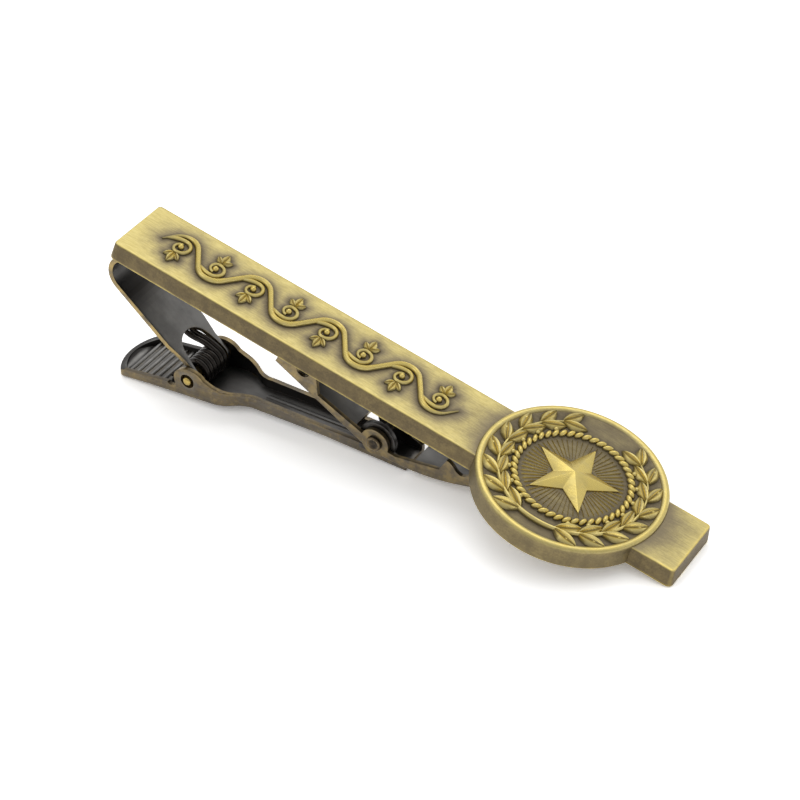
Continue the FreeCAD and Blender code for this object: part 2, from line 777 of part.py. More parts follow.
def lay_down(pieces):
    # The clip rests on the front edge of the bar and on the heel of the thumb tray; the table is z = 0
    heel = along(along(pin, lever_angle, lever_heel), lever_angle - 90, depth_rear)
    toe = (bar_length + bar_draft, 0)
    pitch = math.degrees(math.atan2(toe[1] - heel[1], toe[0] - heel[0]))
    box = FreeCAD.BoundBox()
    for shape in pieces.values():
        shape.rotate(zero, axis_y, pitch)
        box.add(shape.optimalBoundingBox(False, False))
    move = FreeCAD.Vector(-box.Center.x, -box.Center.y, -box.ZMin)
    for shape in pieces.values():
        shape.translate(move)

    def placed(point):
        spot = FreeCAD.Rotation(axis_y, pitch).multVec(FreeCAD.Vector(point[0], 0, point[1])) + move
        return "(%.4f, %.4f, %.4f)" % tuple(spot)

    print("pitch %.3f, lever %.3f, arm %.3f" % (pitch, lever_angle, arm_angle))
    print("pivot pin", placed(pin), "jaw pivot", placed(jaw_pivot), "bar's front edge", placed(toe))
    print("size %.2f x %.2f x %.2f" % (box.XLength, box.YLength, box.ZLength))


pieces = {
    "front_bar": front_bar(),
    "clip_base": clip_base(),
    "pivot_pin": pivot_pin(),
    "torsion_spring": torsion_spring(),
    "lever": lever(),
    "rocker_jaw": rocker_jaw(),
    "rocker_pin": rocker_pin(),
}
lay_down(pieces)
os.makedirs("parts", exist_ok=True)
for name, shape in pieces.items():
    print(name, "solids", len(shape.Solids), "valid", shape.isValid(), "volume %.3f" % shape.Volume)
    shape.exportStep(os.path.join("parts", name + ".step"))
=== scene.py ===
import json
import math
import bmesh
import bpy
from mathutils import Matrix, Vector
from mathutils.kdtree import KDTree


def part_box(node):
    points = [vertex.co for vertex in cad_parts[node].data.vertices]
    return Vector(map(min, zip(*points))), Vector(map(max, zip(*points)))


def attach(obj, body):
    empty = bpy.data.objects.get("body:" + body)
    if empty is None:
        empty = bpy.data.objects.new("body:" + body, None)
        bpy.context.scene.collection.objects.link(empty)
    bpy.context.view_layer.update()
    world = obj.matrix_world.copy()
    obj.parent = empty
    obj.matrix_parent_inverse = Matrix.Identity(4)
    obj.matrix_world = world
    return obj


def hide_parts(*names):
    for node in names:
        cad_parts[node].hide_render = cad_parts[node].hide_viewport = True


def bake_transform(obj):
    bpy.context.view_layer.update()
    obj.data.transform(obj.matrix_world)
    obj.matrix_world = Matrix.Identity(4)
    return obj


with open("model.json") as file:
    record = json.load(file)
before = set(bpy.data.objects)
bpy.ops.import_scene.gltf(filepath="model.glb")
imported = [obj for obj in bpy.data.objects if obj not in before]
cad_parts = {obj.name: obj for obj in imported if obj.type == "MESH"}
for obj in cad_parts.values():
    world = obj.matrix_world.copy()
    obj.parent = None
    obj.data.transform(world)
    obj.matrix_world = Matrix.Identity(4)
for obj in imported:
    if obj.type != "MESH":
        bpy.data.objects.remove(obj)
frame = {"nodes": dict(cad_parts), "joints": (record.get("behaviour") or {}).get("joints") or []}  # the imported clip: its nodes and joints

scene = bpy.context.scene
scene.view_settings.view_transform = "Standard"
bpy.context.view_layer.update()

# Pieces are drawn in millimetres in their own frames. The bar's has x from its rear end, y across and z up
# from its underside; the lever's and the jaw's have their pivot at the origin.
barFrame = {"pinX": 9.8, "pinZ": -10.0, "pitch": math.radians(13.962), "mm": 0.001}
pivots = {joint["name"]: Vector(joint["pos_m"]) for joint in frame["joints"]}
pinSpot, jawSpot = pivots["lever_pivot"], pivots["rocker_pivot"]
pinInBar = Vector((barFrame["pinX"], 0, barFrame["pinZ"]))
leverTilt = math.atan2(jawSpot.z - pinSpot.z, jawSpot.x - pinSpot.x)


def frameAt(spot, pitch):
    return Matrix.Translation(spot) @ Matrix.Rotation(pitch, 4, "Y") @ Matrix.Scale(barFrame["mm"], 4)


barToPart = frameAt(pinSpot, barFrame["pitch"]) @ Matrix.Translation(-pinInBar)
leverToPart = frameAt(pinSpot, -leverTilt)
jawToPart = frameAt(jawSpot, barFrame["pitch"])


# Node helpers

def plug(tree, inputs, links):
    for key, value in links.items():
        if isinstance(value, bpy.types.NodeSocket):
            tree.links.new(value, inputs[key])
        else:
            inputs[key].default_value = value


def put(tree, kind, links=None, **settings):
    node = tree.nodes.new(kind)
    for key, value in settings.items():
        setattr(node, key, value)
    plug(tree, node.inputs, links or {})
    return node


def calc(tree, operation, first, second=0.0, third=0.0, clamp=False):
    links = {0: first, 1: second, 2: third}
    return put(tree, "ShaderNodeMath", links, operation=operation, use_clamp=clamp).outputs[0]


def plus(tree, first, second, clamp=False):
    return calc(tree, "ADD", first, second, clamp=clamp)


def less(tree, first, second, clamp=False):
    return calc(tree, "SUBTRACT", first, second, clamp=clamp)


def times(tree, first, second, clamp=False):
    return calc(tree, "MULTIPLY", first, second, clamp=clamp)


def larger(tree, first, second):
    return calc(tree, "MAXIMUM", first, second)


def weigh(tree, first, second, shares):
    return plus(tree, times(tree, first, shares[0]), times(tree, second, shares[1]))


def tint(tree, share, first, second):
    links = {0: share, 6: first, 7: second}
    return put(tree, "ShaderNodeMix", links, data_type="RGBA").outputs[2]


def remap(tree, value, low, high, newLow=0.0, newHigh=1.0):
    links = {0: value, 1: low, 2: high, 3: newLow, 4: newHigh}
    return put(tree, "ShaderNodeMapRange", links, interpolation_type="SMOOTHSTEP").outputs[0]


def ease(tree, share, low, high):
    return remap(tree, share, 0.0, 1.0, low, high)


def sway(tree, share, amount, low=0.0, high=1.0):
    return remap(tree, share, low, high, amount, -amount)


def noise(tree, vector, scale, detail, roughness):
    links = {"Vector": vector, "Scale": scale, "Detail": detail, "Roughness": roughness}
    return put(tree, "ShaderNodeTexNoise", links).outputs[0]


def xyz(tree, x=0.0, y=0.0, z=0.0):
    return put(tree, "ShaderNodeCombineXYZ", {0: x, 1: y, 2: z}).outputs[0]


def stretch(tree, vector, shares):
    return put(tree, "ShaderNodeVectorMath", {0: vector, 1: shares}, operation="MULTIPLY").outputs[0]


def mark(tree, name):
    return put(tree, "ShaderNodeAttribute", attribute_name=name).outputs["Fac"]


def newTree(name, kind, takes, gives):
    # takes: each input's first value, or the kind of an input that starts empty
    tree = bpy.data.node_groups.new(name, kind + "NodeTree")
    for label, value in takes.items():
        empty = isinstance(value, str)
        socketKind = "NodeSocket" + (value if empty else type(value).__name__.capitalize())
        socket = tree.interface.new_socket(label, in_out="INPUT", socket_type=socketKind)
        if not empty:
            socket.default_value = value
    socketKind = {"Shader": "NodeSocketFloat", "Geometry": "NodeSocketGeometry"}[kind]
    tree.interface.new_socket(gives, in_out="OUTPUT", socket_type=socketKind)
    return tree, put(tree, "NodeGroupInput").outputs, put(tree, "NodeGroupOutput").inputs[0]


# Effects that several metals share; patterns are laid out in millimetres. A noise has its scale, detail and
# roughness, and a span is where a mask begins and where it is full.

brushGrain = {"fine": (1.0, 4.0, 0.7), "wide": (0.23, 2.0, 0.5), "shares": (0.92, 0.08), "span": (0.33, 0.67)}
smudgeCloud = {"stretch": (0.45, 1.0, 1.0), "detail": (5.0, 0.62), "middle": 0.5}
wearChips = {"noise": (0.9, 3.0, 0.55), "span": (0.66, 0.34), "keptSpan": (0.05, 0.9)}
skinGrain = {"fine": (4.0, 0.6), "swell": (2.0, 0.5), "swellScale": 0.16, "shares": (0.6, 0.6)}


def makeBrushGroup(spec):
    takes = {"Vector": "Vector", "Along": 0.12, "Across": 9.0}
    tree, given, result = newTree("brushLines", "Shader", takes, "Lines")
    streaks = stretch(tree, given["Vector"], xyz(tree, given["Along"], given["Across"], given["Across"]))
    fine, wide = [noise(tree, streaks, *spec[size]) for size in ("fine", "wide")]
    tree.links.new(remap(tree, weigh(tree, fine, wide, spec["shares"]), *spec["span"]), result)
    return tree


def makeTarnishGroup(spec):
    takes = {"Vector": "Vector", "Recess": 0.0, "Smudge": 0.5, "Size": 0.35}
    tree, given, result = newTree("tarnishAndShade", "Shader", takes, "Mask")
    cloud = noise(tree, stretch(tree, given["Vector"], spec["stretch"]), given["Size"], *spec["detail"])
    drift = times(tree, less(tree, cloud, spec["middle"]), given["Smudge"])
    tree.links.new(plus(tree, given["Recess"], drift, clamp=True), result)
    return tree


def makeWearGroup(spec):
    takes = {"Vector": "Vector", "Edge": 0.0, "Breakup": 0.5}
    tree, given, result = newTree("edgeWear", "Shader", takes, "Mask")
    chips = remap(tree, noise(tree, given["Vector"], *spec["noise"]), *spec["span"])
    loss = times(tree, chips, given["Breakup"])
    kept = times(tree, given["Edge"], less(tree, 1.0, loss), clamp=True)
    tree.links.new(remap(tree, kept, *spec["keptSpan"]), result)
    return tree


def makeSkinGroup(spec):
    takes = {"Vector": "Vector", "Size": 6.0}
    tree, given, result = newTree("castSkin", "Shader", takes, "Height")
    grain = noise(tree, given["Vector"], given["Size"], *spec["fine"])
    swell = noise(tree, given["Vector"], times(tree, given["Size"], spec["swellScale"]), *spec["swell"])
    tree.links.new(weigh(tree, grain, swell, spec["shares"]), result)
    return tree


brushLines, tarnishAndShade = makeBrushGroup(brushGrain), makeTarnishGroup(smudgeCloud)
edgeWear, castSkin = makeWearGroup(wearChips), makeSkinGroup(skinGrain)


def effect(tree, group, spot, values):
    return put(tree, "ShaderNodeGroup", {"Vector": spot} | values, node_tree=group).outputs[0]


def clearTree(owner):
    owner.use_nodes = True
    owner.node_tree.nodes.clear()
    return owner.node_tree


def newMaterial(name, turn=0.0):
    # turn lays the patterns along a piece that is pitched about y
    material = bpy.data.materials.new(name)
    tree = clearTree(material)
    shader = put(tree, "ShaderNodeBsdfPrincipled")
    put(tree, "ShaderNodeOutputMaterial", {"Surface": shader.outputs[0]})
    spot = put(tree, "ShaderNodeTexCoord").outputs["Object"]
    perMetre = 1 / barFrame["mm"]
    links = {"Vector": spot, "Rotation": (0, -turn, 0), "Scale": (perMetre, perMetre, perMetre)}
    return material, tree, shader.inputs, put(tree, "ShaderNodeMapping", links).outputs[0]


def dressMetal(tree, into, colour, rough, metal, height, bump):
    strength, distance = bump
    links = {"Height": height, "Strength": strength, "Distance": distance}
    normal = put(tree, "ShaderNodeBump", links).outputs[0]
    plug(tree, into, {"Base Color": colour, "Roughness": rough, "Metallic": metal, "Normal": normal})


# Cast brass: brushed gold on top, patina in the recesses, painted shade as a darker brown on the walls, a
# painted shadow at the foot of the relief, bright rubbed edges

castBrassLook = {
    "gold": (0.57, 0.468, 0.172, 1), "paleGold": (0.650, 0.548, 0.232, 1), "bright": (0.74, 0.58, 0.175, 1),
    "patina": (0.265, 0.218, 0.135, 1), "footShadow": (0.070, 0.055, 0.036, 1), "wall": (0.122, 0.093, 0.050, 1),
    "shadedWallGold": (0.238, 0.181, 0.081, 1), "brush": {"Along": 0.9, "Across": 6.5}, "skin": {"Size": 5.5},
    "smudge": {"Smudge": 0.36, "Size": 0.30}, "wear": {"Breakup": 0.4},
    "wallCloud": {"Recess": 0.45, "Smudge": 1.6, "Size": 0.8}, "wallSpan": (0.45, 0.75), "lineTone": 0.045,
    "skinTone": (0.08, 0.4, 0.8), "streakDull": 0.8, "wallDull": 0.6, "wornShine": 0.5, "rough": (0.36, 0.58),
    "lineRough": 0.04, "wornRough": 0.09, "metal": (1.0, 0.72), "relief": (0.45, 0.7), "bump": (0.3, 0.00002),
}


def makeCastBrass(look):
    material, tree, into, spot = newMaterial("castBrass", barFrame["pitch"])
    recess, wall, edge, deep = [mark(tree, name) for name in ("recess", "wall", "edge", "deep")]
    lines, skin = effect(tree, brushLines, spot, look["brush"]), effect(tree, castSkin, spot, look["skin"])
    smudge = effect(tree, tarnishAndShade, spot, look["smudge"] | {"Recess": recess})
    worn = effect(tree, edgeWear, spot, look["wear"] | {"Edge": edge})
    speckle = plus(tree, sway(tree, lines, look["lineTone"]), sway(tree, skin, *look["skinTone"]))
    streaked = plus(tree, smudge, speckle, clamp=True)
    gold = tint(tree, lines, look["gold"], look["paleGold"])
    colour = tint(tree, ease(tree, streaked, 0.0, 1.0), gold, look["patina"])
    # The walls get a darker brown as painted shade, broken by a lighter grain
    grain = times(tree, effect(tree, tarnishAndShade, spot, look["wallCloud"]), remap(tree, skin, *look["wallSpan"]))
    side = tint(tree, grain, look["wall"], look["shadedWallGold"])
    # Over the top's colour: the walls' painted shade, the painted shadow at the relief's foot, then the
    # rubbed edges
    for share, over in ((wall, side), (deep, look["footShadow"]), (worn, look["bright"])):
        colour = tint(tree, share, colour, over)
    streakDull, wallDull = times(tree, streaked, look["streakDull"]), times(tree, wall, look["wallDull"])
    dull = larger(tree, larger(tree, streakDull, deep), wallDull)
    polish = less(tree, dull, times(tree, worn, look["wornShine"]), clamp=True)
    rough = plus(tree, ease(tree, polish, *look["rough"]), sway(tree, lines, look["lineRough"]))
    rough = less(tree, rough, times(tree, worn, look["wornRough"]))
    height = weigh(tree, lines, skin, look["relief"])
    dressMetal(tree, into, colour, rough, ease(tree, polish, *look["metal"]), height, look["bump"])
    return material


# Bronzed sheet: smudged brown outside with gold flecks, grey inside, partly its own colour and partly painted
# shade, darkened to black deeper in by painted shade, brass at the edges

sheetLook = {
    "bronze": (0.190, 0.145, 0.080, 1), "brown": (0.095, 0.082, 0.066, 1), "grey": (0.140, 0.130, 0.118, 1),
    "inner": (0.215, 0.210, 0.200, 1), "innerDarkAndShade": (0.028, 0.025, 0.024, 1), "edge": (0.36, 0.265, 0.110, 1),
    "brush": {"Along": 0.35, "Across": 7.0}, "smudge": {"Recess": 0.55, "Smudge": 2.6, "Size": 0.45},
    "wear": {"Breakup": 0.75}, "innerWear": 0.9, "skin": {"Size": 9.0}, "fleck": (1.5, 6.0, 0.72),
    "fleckSpan": (0.50, 0.68), "fleckShare": (0.65, 0.2), "greyLines": (0.3, 1.0, 0.0, 0.5),
    "innerSmudge": (0.3, 1.0, 0.0, 0.25), "rough": (0.30, 0.42), "lineRough": 0.03, "metal": (1.0, 0.88),
    "relief": (0.3, 0.5), "bump": (0.25, 0.000010),
}


def makeBronzedSheet(look):
    material, tree, into, spot = newMaterial("bronzedSheet")
    inner, edge, deep = [mark(tree, name) for name in ("inner", "edge", "deep")]
    lines, skin = effect(tree, brushLines, spot, look["brush"]), effect(tree, castSkin, spot, look["skin"])
    smudge = effect(tree, tarnishAndShade, spot, look["smudge"])
    worn = effect(tree, edgeWear, spot, look["wear"] | {"Edge": edge})
    worn = times(tree, worn, less(tree, 1.0, times(tree, inner, look["innerWear"])))
    fleck = remap(tree, noise(tree, spot, *look["fleck"]), *look["fleckSpan"])
    outer = tint(tree, smudge, look["bronze"], look["brown"])
    outer = tint(tree, remap(tree, lines, *look["greyLines"]), outer, look["grey"])
    outer = tint(tree, times(tree, fleck, ease(tree, smudge, *look["fleckShare"])), outer, look["edge"])
    inside = tint(tree, remap(tree, smudge, *look["innerSmudge"]), look["inner"], look["innerDarkAndShade"])
    # The deep mark paints shade, darkening the inside to black
    inside = tint(tree, deep, inside, look["innerDarkAndShade"])
    colour = tint(tree, worn, tint(tree, inner, outer, inside), look["edge"])
    rough = plus(tree, ease(tree, smudge, *look["rough"]), sway(tree, lines, look["lineRough"]))
    height = weigh(tree, lines, skin, look["relief"])
    dressMetal(tree, into, colour, rough, ease(tree, smudge, *look["metal"]), height, look["bump"])
    return material


# Turned pins, worn bright on the crown, with painted shade in the dimple, along the shank and at the foot;
# blackened spring wire

pinLook = {"smudge": {"Smudge": 1.0, "Size": 1.6}, "skin": {"Size": 11.0}, "rough": (0.22, 0.5),
           "metal": (1.0, 0.8), "bump": (0.3, 0.00001)}
# Each pin's bright colour, and the darker one that its painted shade and smudges go to
pinColours = {"pinBrass": ((0.48, 0.355, 0.11, 1), (0.06, 0.045, 0.025, 1)),
              "rivetBronze": ((0.18, 0.135, 0.075, 1), (0.022, 0.019, 0.018, 1))}
wireLook = {"bright": (0.055, 0.048, 0.042, 1), "dark": (0.014, 0.012, 0.011, 1), "metal": 0.9,
            "smudge": {"Recess": 0.5, "Smudge": 1.6, "Size": 1.4}, "skin": {"Size": 14.0},
            "rough": (0.24, 0.42), "bump": (0.25, 0.000008)}


def makePinMetal(name, bright, dark, look):
    material, tree, into, spot = newMaterial(name)
    # Here the recess mark is painted shade
    smudge = effect(tree, tarnishAndShade, spot, look["smudge"] | {"Recess": mark(tree, "recess")})
    skin = effect(tree, castSkin, spot, look["skin"])
    rough, metal = ease(tree, smudge, *look["rough"]), ease(tree, smudge, *look["metal"])
    dressMetal(tree, into, tint(tree, smudge, bright, dark), rough, metal, skin, look["bump"])
    return material


def makeSpringSteel(look):
    material, tree, into, spot = newMaterial("springSteel")
    smudge, skin = effect(tree, tarnishAndShade, spot, look["smudge"]), effect(tree, castSkin, spot, look["skin"])
    colour = tint(tree, smudge, look["bright"], look["dark"])
    dressMetal(tree, into, colour, ease(tree, smudge, *look["rough"]), look["metal"], skin, look["bump"])
    return material


castBrass = makeCastBrass(castBrassLook)
bronzedSheet = makeBronzedSheet(sheetLook)
pinBrass, rivetBronze = [makePinMetal(name, *colours, pinLook) for name, colours in pinColours.items()]
springSteel = makeSpringSteel(wireLook)
metals = castBrass, bronzedSheet, pinBrass, rivetBronze, springSteel
print("metals ready:", [metal.name for metal in metals])


# Mesh helpers

def ramp(value, start, reach):
    return min(1.0, max(0.0, (value - start) / reach))


def smooth(value, start=0.0, reach=1.0):
    share = ramp(value, start, reach)
    return share * share * (3 - 2 * share)


def fade(distance, reach):
    return math.exp(-max(distance, 0) / reach)


def polar(radius, angle):
    return radius * math.cos(angle), radius * math.sin(angle)


def wayOf(degrees):
    x, z = polar(1.0, math.radians(degrees))
    return Vector((x, 0, z))


def addObject(name, mesh):
    piece = bpy.data.objects.new(name, mesh)
    scene.collection.objects.link(piece)
    return piece


def objectFrom(bm, name, place=None, crease=35):
    if place:
        bm.transform(place)
    bmesh.ops.recalc_face_normals(bm, faces=bm.faces)
    mesh = bpy.data.meshes.new(name)
    bm.to_mesh(mesh)
    bm.free()
    mesh.shade_smooth()
    mesh.set_sharp_from_angle(angle=math.radians(crease))
    return addObject(name, mesh)


def layers(bm, *names):
    return [bm.verts.layers.float.new(name) for name in names]


def marksOf(mesh, *names):
    for name in names:
        if name not in mesh.attributes:
            mesh.attributes.new(name, "FLOAT", "POINT")
    return [mesh.attributes[name].data for name in names]


def addRing(bm, marked, spots, marks):
    # marked: the layers that take each point's marks
    ring = [bm.verts.new(spot) for spot in spots]
    for vert, values in zip(ring, marks):
        for layer, value in zip(marked, values):
            vert[layer] = value
    return ring


def bridge(bm, rings):
    # Faces from each closed ring of points to the next
    for low, high in zip(rings, rings[1:]):
        for k in range(len(low)):
            bm.faces.new((low[k - 1], low[k], high[k], high[k - 1]))


def weld(bm, reach=0.0005):
    bmesh.ops.remove_doubles(bm, verts=bm.verts, dist=reach)


def roundEdges(bm, edges, offset):
    return bmesh.ops.bevel(bm, geom=edges, offset=offset, segments=2, profile=0.6, affect="EDGES",
                           clamp_overlap=True)


def nearestOf(spots):
    tree = KDTree(len(spots))
    for k, spot in enumerate(spots):
        tree.insert(spot, k)
    tree.balance()
    return tree


def finish(piece, body, slot, material, *nodes):
    piece.data.materials.clear()
    piece.data.materials.append(material)
    if body:
        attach(piece, body)
    if nodes:
        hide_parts(*nodes)
    print("piece", piece.name, len(piece.data.polygons), "faces on", body or "two bodies")


def lathe(name, profile, steps, place):
    # profile: radius, height and recess mark of each ring, from one end of the axis to the other
    bm = bmesh.new()
    marked, rings = layers(bm, "recess"), []
    for radius, height, hollow in profile:
        spots = [(*polar(radius, 2 * math.pi * k / steps), height) for k in range(steps)]
        rings.append(addRing(bm, marked, spots, [(hollow,)] * steps))
    bridge(bm, rings)
    weld(bm)
    return objectFrom(bm, name, place)


def runTree(holder, tree, values):
    # The holder's geometry through a node tree, as a plain mesh; the holder is not kept
    modifier = holder.modifiers.new(tree.name, "NODES")
    modifier.node_group = tree
    for item in tree.interface.items_tree:
        if item.in_out == "INPUT" and item.name in values:
            modifier[item.identifier] = values[item.name]
    graph = bpy.context.evaluated_depsgraph_get()
    mesh = bpy.data.meshes.new_from_object(holder.evaluated_get(graph))
    bpy.data.objects.remove(holder)
    return mesh


def joined(name, meshes, patterns=(), place=None):
    # One piece of several meshes; the patterns they were made from are not kept
    bm = bmesh.new()
    for mesh in meshes:
        bm.from_mesh(mesh)
        bpy.data.meshes.remove(mesh)
    for pattern in patterns:
        bpy.data.objects.remove(pattern)
    return objectFrom(bm, name, place)


# Node trees for what follows a path or repeats

def closeTree(tree, given, result, geometry):
    plain = put(tree, "GeometryNodeRealizeInstances", {0: geometry}).outputs[0]
    links = {"Geometry": plain, "Material": given["Finish"]}
    tree.links.new(put(tree, "GeometryNodeSetMaterial", links).outputs[0], result)
    return tree


def placeCopies(tree, given, where, heading, size):
    spots = put(tree, "GeometryNodeMeshLine", {"Count": given["Count"]}).outputs[0]
    spots = put(tree, "GeometryNodeSetPosition", {"Geometry": spots, "Position": where}).outputs[0]
    turn = put(tree, "FunctionNodeEulerToRotation", {0: xyz(tree, z=heading)}).outputs[0]
    pattern = put(tree, "GeometryNodeObjectInfo", {"Object": given["Pattern"]}).outputs["Geometry"]
    links = {"Points": spots, "Instance": pattern, "Rotation": turn, "Scale": size}
    return put(tree, "GeometryNodeInstanceOnPoints", links).outputs[0]


def makeSweepTree():
    takes = {"Path": "Geometry", "Radius": 0.3, "Sides": 12, "Flatten": 1.0, "Lift": 0.0,
             "Finish": "Material"}
    tree, given, result = newTree("sweptRod", "Geometry", takes, "Rod")
    line = put(tree, "GeometryNodeMeshToCurve", {0: given["Path"]}).outputs[0]
    links = {"Resolution": given["Sides"], "Radius": given["Radius"]}
    section = put(tree, "GeometryNodeCurvePrimitiveCircle", links).outputs[0]
    width = put(tree, "GeometryNodeInputNamedAttribute", {"Name": "thickness"}).outputs[0]
    links = {"Curve": line, "Profile Curve": section, "Scale": width, "Fill Caps": True}
    rod = put(tree, "GeometryNodeCurveToMesh", links).outputs[0]
    links = {"Geometry": rod, "Translation": xyz(tree, z=given["Lift"]),
             "Scale": xyz(tree, 1.0, 1.0, given["Flatten"])}
    return closeTree(tree, given, result, put(tree, "GeometryNodeTransform", links).outputs[0])


def makeRoundTree():
    # Copies of a pattern at even angles on an arc about z, each turned with the arc and by a lean of its own
    takes = {"Holder": "Geometry", "Pattern": "Object", "Count": 8, "Radius": 7.0, "First": 0.0, "Last": 1.0,
             "Side": 1.0, "Lean": 0.0, "Lift": 0.0, "Taper": 0.0, "Finish": "Material"}
    tree, given, result = newTree("roundTheCrest", "Geometry", takes, "Copies")
    index = put(tree, "GeometryNodeInputIndex").outputs[0]
    share = calc(tree, "DIVIDE", index, less(tree, given["Count"], 1.0))
    sweep = less(tree, given["Last"], given["First"])
    angle = times(tree, calc(tree, "MULTIPLY_ADD", sweep, share, given["First"]), given["Side"])
    place = less(tree, angle, math.pi / 2)
    x, y = [times(tree, calc(tree, way, place), given["Radius"]) for way in ("COSINE", "SINE")]
    along = calc(tree, "MULTIPLY_ADD", given["Side"], math.pi / 2, place)
    heading = plus(tree, along, given["Lean"])
    size = less(tree, 1.0, times(tree, share, given["Taper"]))
    copies = placeCopies(tree, given, xyz(tree, x, y, given["Lift"]), heading, size)
    return closeTree(tree, given, result, copies)


def makeRowTree():
    # Copies of a pattern in a row along x that swap sides from one to the next
    takes = {"Holder": "Geometry", "Pattern": "Object", "Count": 8, "Start": 0.0, "Pitch": 1.0, "Offset": 0.0,
             "Turn": 0.0, "Lift": 0.0, "Size": 1.0, "Finish": "Material"}
    tree, given, result = newTree("alongTheBar", "Geometry", takes, "Copies")
    index = put(tree, "GeometryNodeInputIndex").outputs[0]
    swap = calc(tree, "MULTIPLY_ADD", calc(tree, "MODULO", index, 2.0), -2.0, 1.0)
    x = calc(tree, "MULTIPLY_ADD", index, given["Pitch"], given["Start"])
    where = xyz(tree, x, times(tree, swap, given["Offset"]), given["Lift"])
    copies = placeCopies(tree, given, where, times(tree, swap, given["Turn"]), given["Size"])
    return closeTree(tree, given, result, copies)


sweptRod, roundTheCrest, alongTheBar = makeSweepTree(), makeRoundTree(), makeRowTree()


def sweep(lines, rod, lift, metal):
    # lines: runs of (x, y, z, thickness); thickness scales the rod's radius
    bm = bmesh.new()
    thickness, = layers(bm, "thickness")
    for line in lines:
        verts = [bm.verts.new(point[:3]) for point in line]
        for vert, point in zip(verts, line):
            vert[thickness] = point[3]
        for pair in zip(verts, verts[1:]):
            bm.edges.new(pair)
    mesh = bpy.data.meshes.new("path")
    bm.to_mesh(mesh)
    bm.free()
    return runTree(addObject("path", mesh), sweptRod, rod | {"Lift": lift, "Finish": metal})


def scatter(tree, pattern, values):
    holder = addObject("holder", bpy.data.meshes.new("holder"))
    return runTree(holder, tree, values | {"Pattern": pattern, "Finish": castBrass})


# Patterns that the crest and the vine repeat

leafShape = {
    # Across one half: place, share of the height, recess and edge marks; the first goes down into the plate
    "section": ((-1.0, None, 1.0, 0.0), (-1.0, 0.0, 0.45, 0.1), (-0.55, 0.66, 0.0, 0.15),
                (-0.16, 0.50, 0.7, 0.0)),
    "midrib": (0.0, 1.0, 0.0, 0.5), "root": 0.3, "stations": 10, "tipward": 0.85, "fullness": 0.55,
    "weld": 0.002,
}
beadShape = {"steps": 10, "foot": 0.75, "footFade": 1.2, "crownFrom": 0.6}
# Stations of a ray: shares of its length, width and height; then recess and edge marks at its foot and crown
rayShape = {"stations": ((0.0, 0.25, 0.6), (0.92, 0.5, 1.0), (1.0, 0.5, 0.0)), "root": 0.2,
            "foot": (1.0, 0.0), "crown": (0.1, 0.3)}


def makeLeaf(length, width, height, rim):
    spec, bm = leafShape, bmesh.new()
    marked, rows, last = layers(bm, "recess", "edge"), [], spec["stations"]
    half = list(spec["section"])
    section = half + [spec["midrib"]] + [(-place, *rest) for place, *rest in reversed(half)]
    for k in range(last + 1):
        along = k / last
        reach = width * 2 * along * (1 - along)
        swell = math.sin(math.pi * along ** spec["tipward"]) ** spec["fullness"] if 0 < k < last else 0.0
        spots = []
        for place, share in [point[:2] for point in section]:
            z = -spec["root"] if share is None else rim + (height - rim) * swell * share
            spots.append((length * along, reach * place, z))
        rows.append(addRing(bm, marked, spots, [point[2:] for point in section]))
    bridge(bm, rows)
    weld(bm, spec["weld"])
    return objectFrom(bm, "leafPattern")


def makeBead(radii, turn=0.0, rings=7):
    # An oval bead, dark at its foot
    spec, bm = beadShape, bmesh.new()
    marked, rows, steps = layers(bm, "recess", "edge"), [], spec["steps"]
    for k in range(rings + 1):
        out, up = polar(1.0, math.pi * (k / rings - 0.5))
        ball = [Vector((*polar(out, 2 * math.pi * j / steps), up)) for j in range(steps)]
        spots = [[value * radius for value, radius in zip(spot, radii)] for spot in ball]
        hollows = [max(0.0, spec["foot"] - spot.z * spec["footFade"]) for spot in ball]
        rubbed = [max(0.0, spot.z - spec["crownFrom"]) for spot in ball]
        rows.append(addRing(bm, marked, spots, zip(hollows, rubbed)))
    bridge(bm, rows)
    weld(bm)
    return objectFrom(bm, "beadPattern", Matrix.Rotation(turn, 4, "Z"))


def makeRay(length, width, height):
    # A thin ridge that widens outwards along x
    spec, bm = rayShape, bmesh.new()
    marked, rows, root = layers(bm, "recess", "edge"), [], -spec["root"]
    for along, wide, tall in spec["stations"]:
        x, half = length * along, width * wide
        spots = ((x, -half, root), (x, 0, height * tall), (x, half, root))
        rows.append(addRing(bm, marked, spots, (spec["foot"], spec["crown"], spec["foot"])))
    bridge(bm, rows)
    bm.faces.new(rows[0])
    bm.faces.new(rows[-1][::-1])
    return objectFrom(bm, "rayPattern")


# Front bar: the casting's drafted body

barBody = {"length": 60.0, "width": 7.2, "thickness": 1.8, "draft": 0.25, "corner": 0.35, "topRound": 0.09,
           "baseRound": 0.09, "baseCurve": 0.3, "cell": 0.24, "rows": 30, "cornerSteps": 4, "roundSteps": 3,
           "wallRows": 8}
# Marks on the bar: how strong, and over how many millimetres they fade
barMarks = {"rim": 0.35, "rimFade": 0.18, "front": 0.4, "frontSpan": (-4.0, 3.0), "halo": 0.72,
            "haloGap": 0.15, "haloFade": 1.0, "crest": 0.75, "crestFade": 1.3, "band": 0.18, "bandFade": 1.5,
            "frontShade": 0.21, "foot": 0.7, "footGap": 0.1, "footFade": 0.14, "corner": 0.6,
            "upperEdge": (0.55, 0.20), "lowerEdge": (0.45, 0.7, 0.3)}
crestPlace = {"fromFront": 12.3, "radius": 8.8}
barTop = barBody["thickness"]
crestX = barBody["length"] - crestPlace["fromFront"]
crestToPart = barToPart @ Matrix.Translation((crestX, 0, 0))


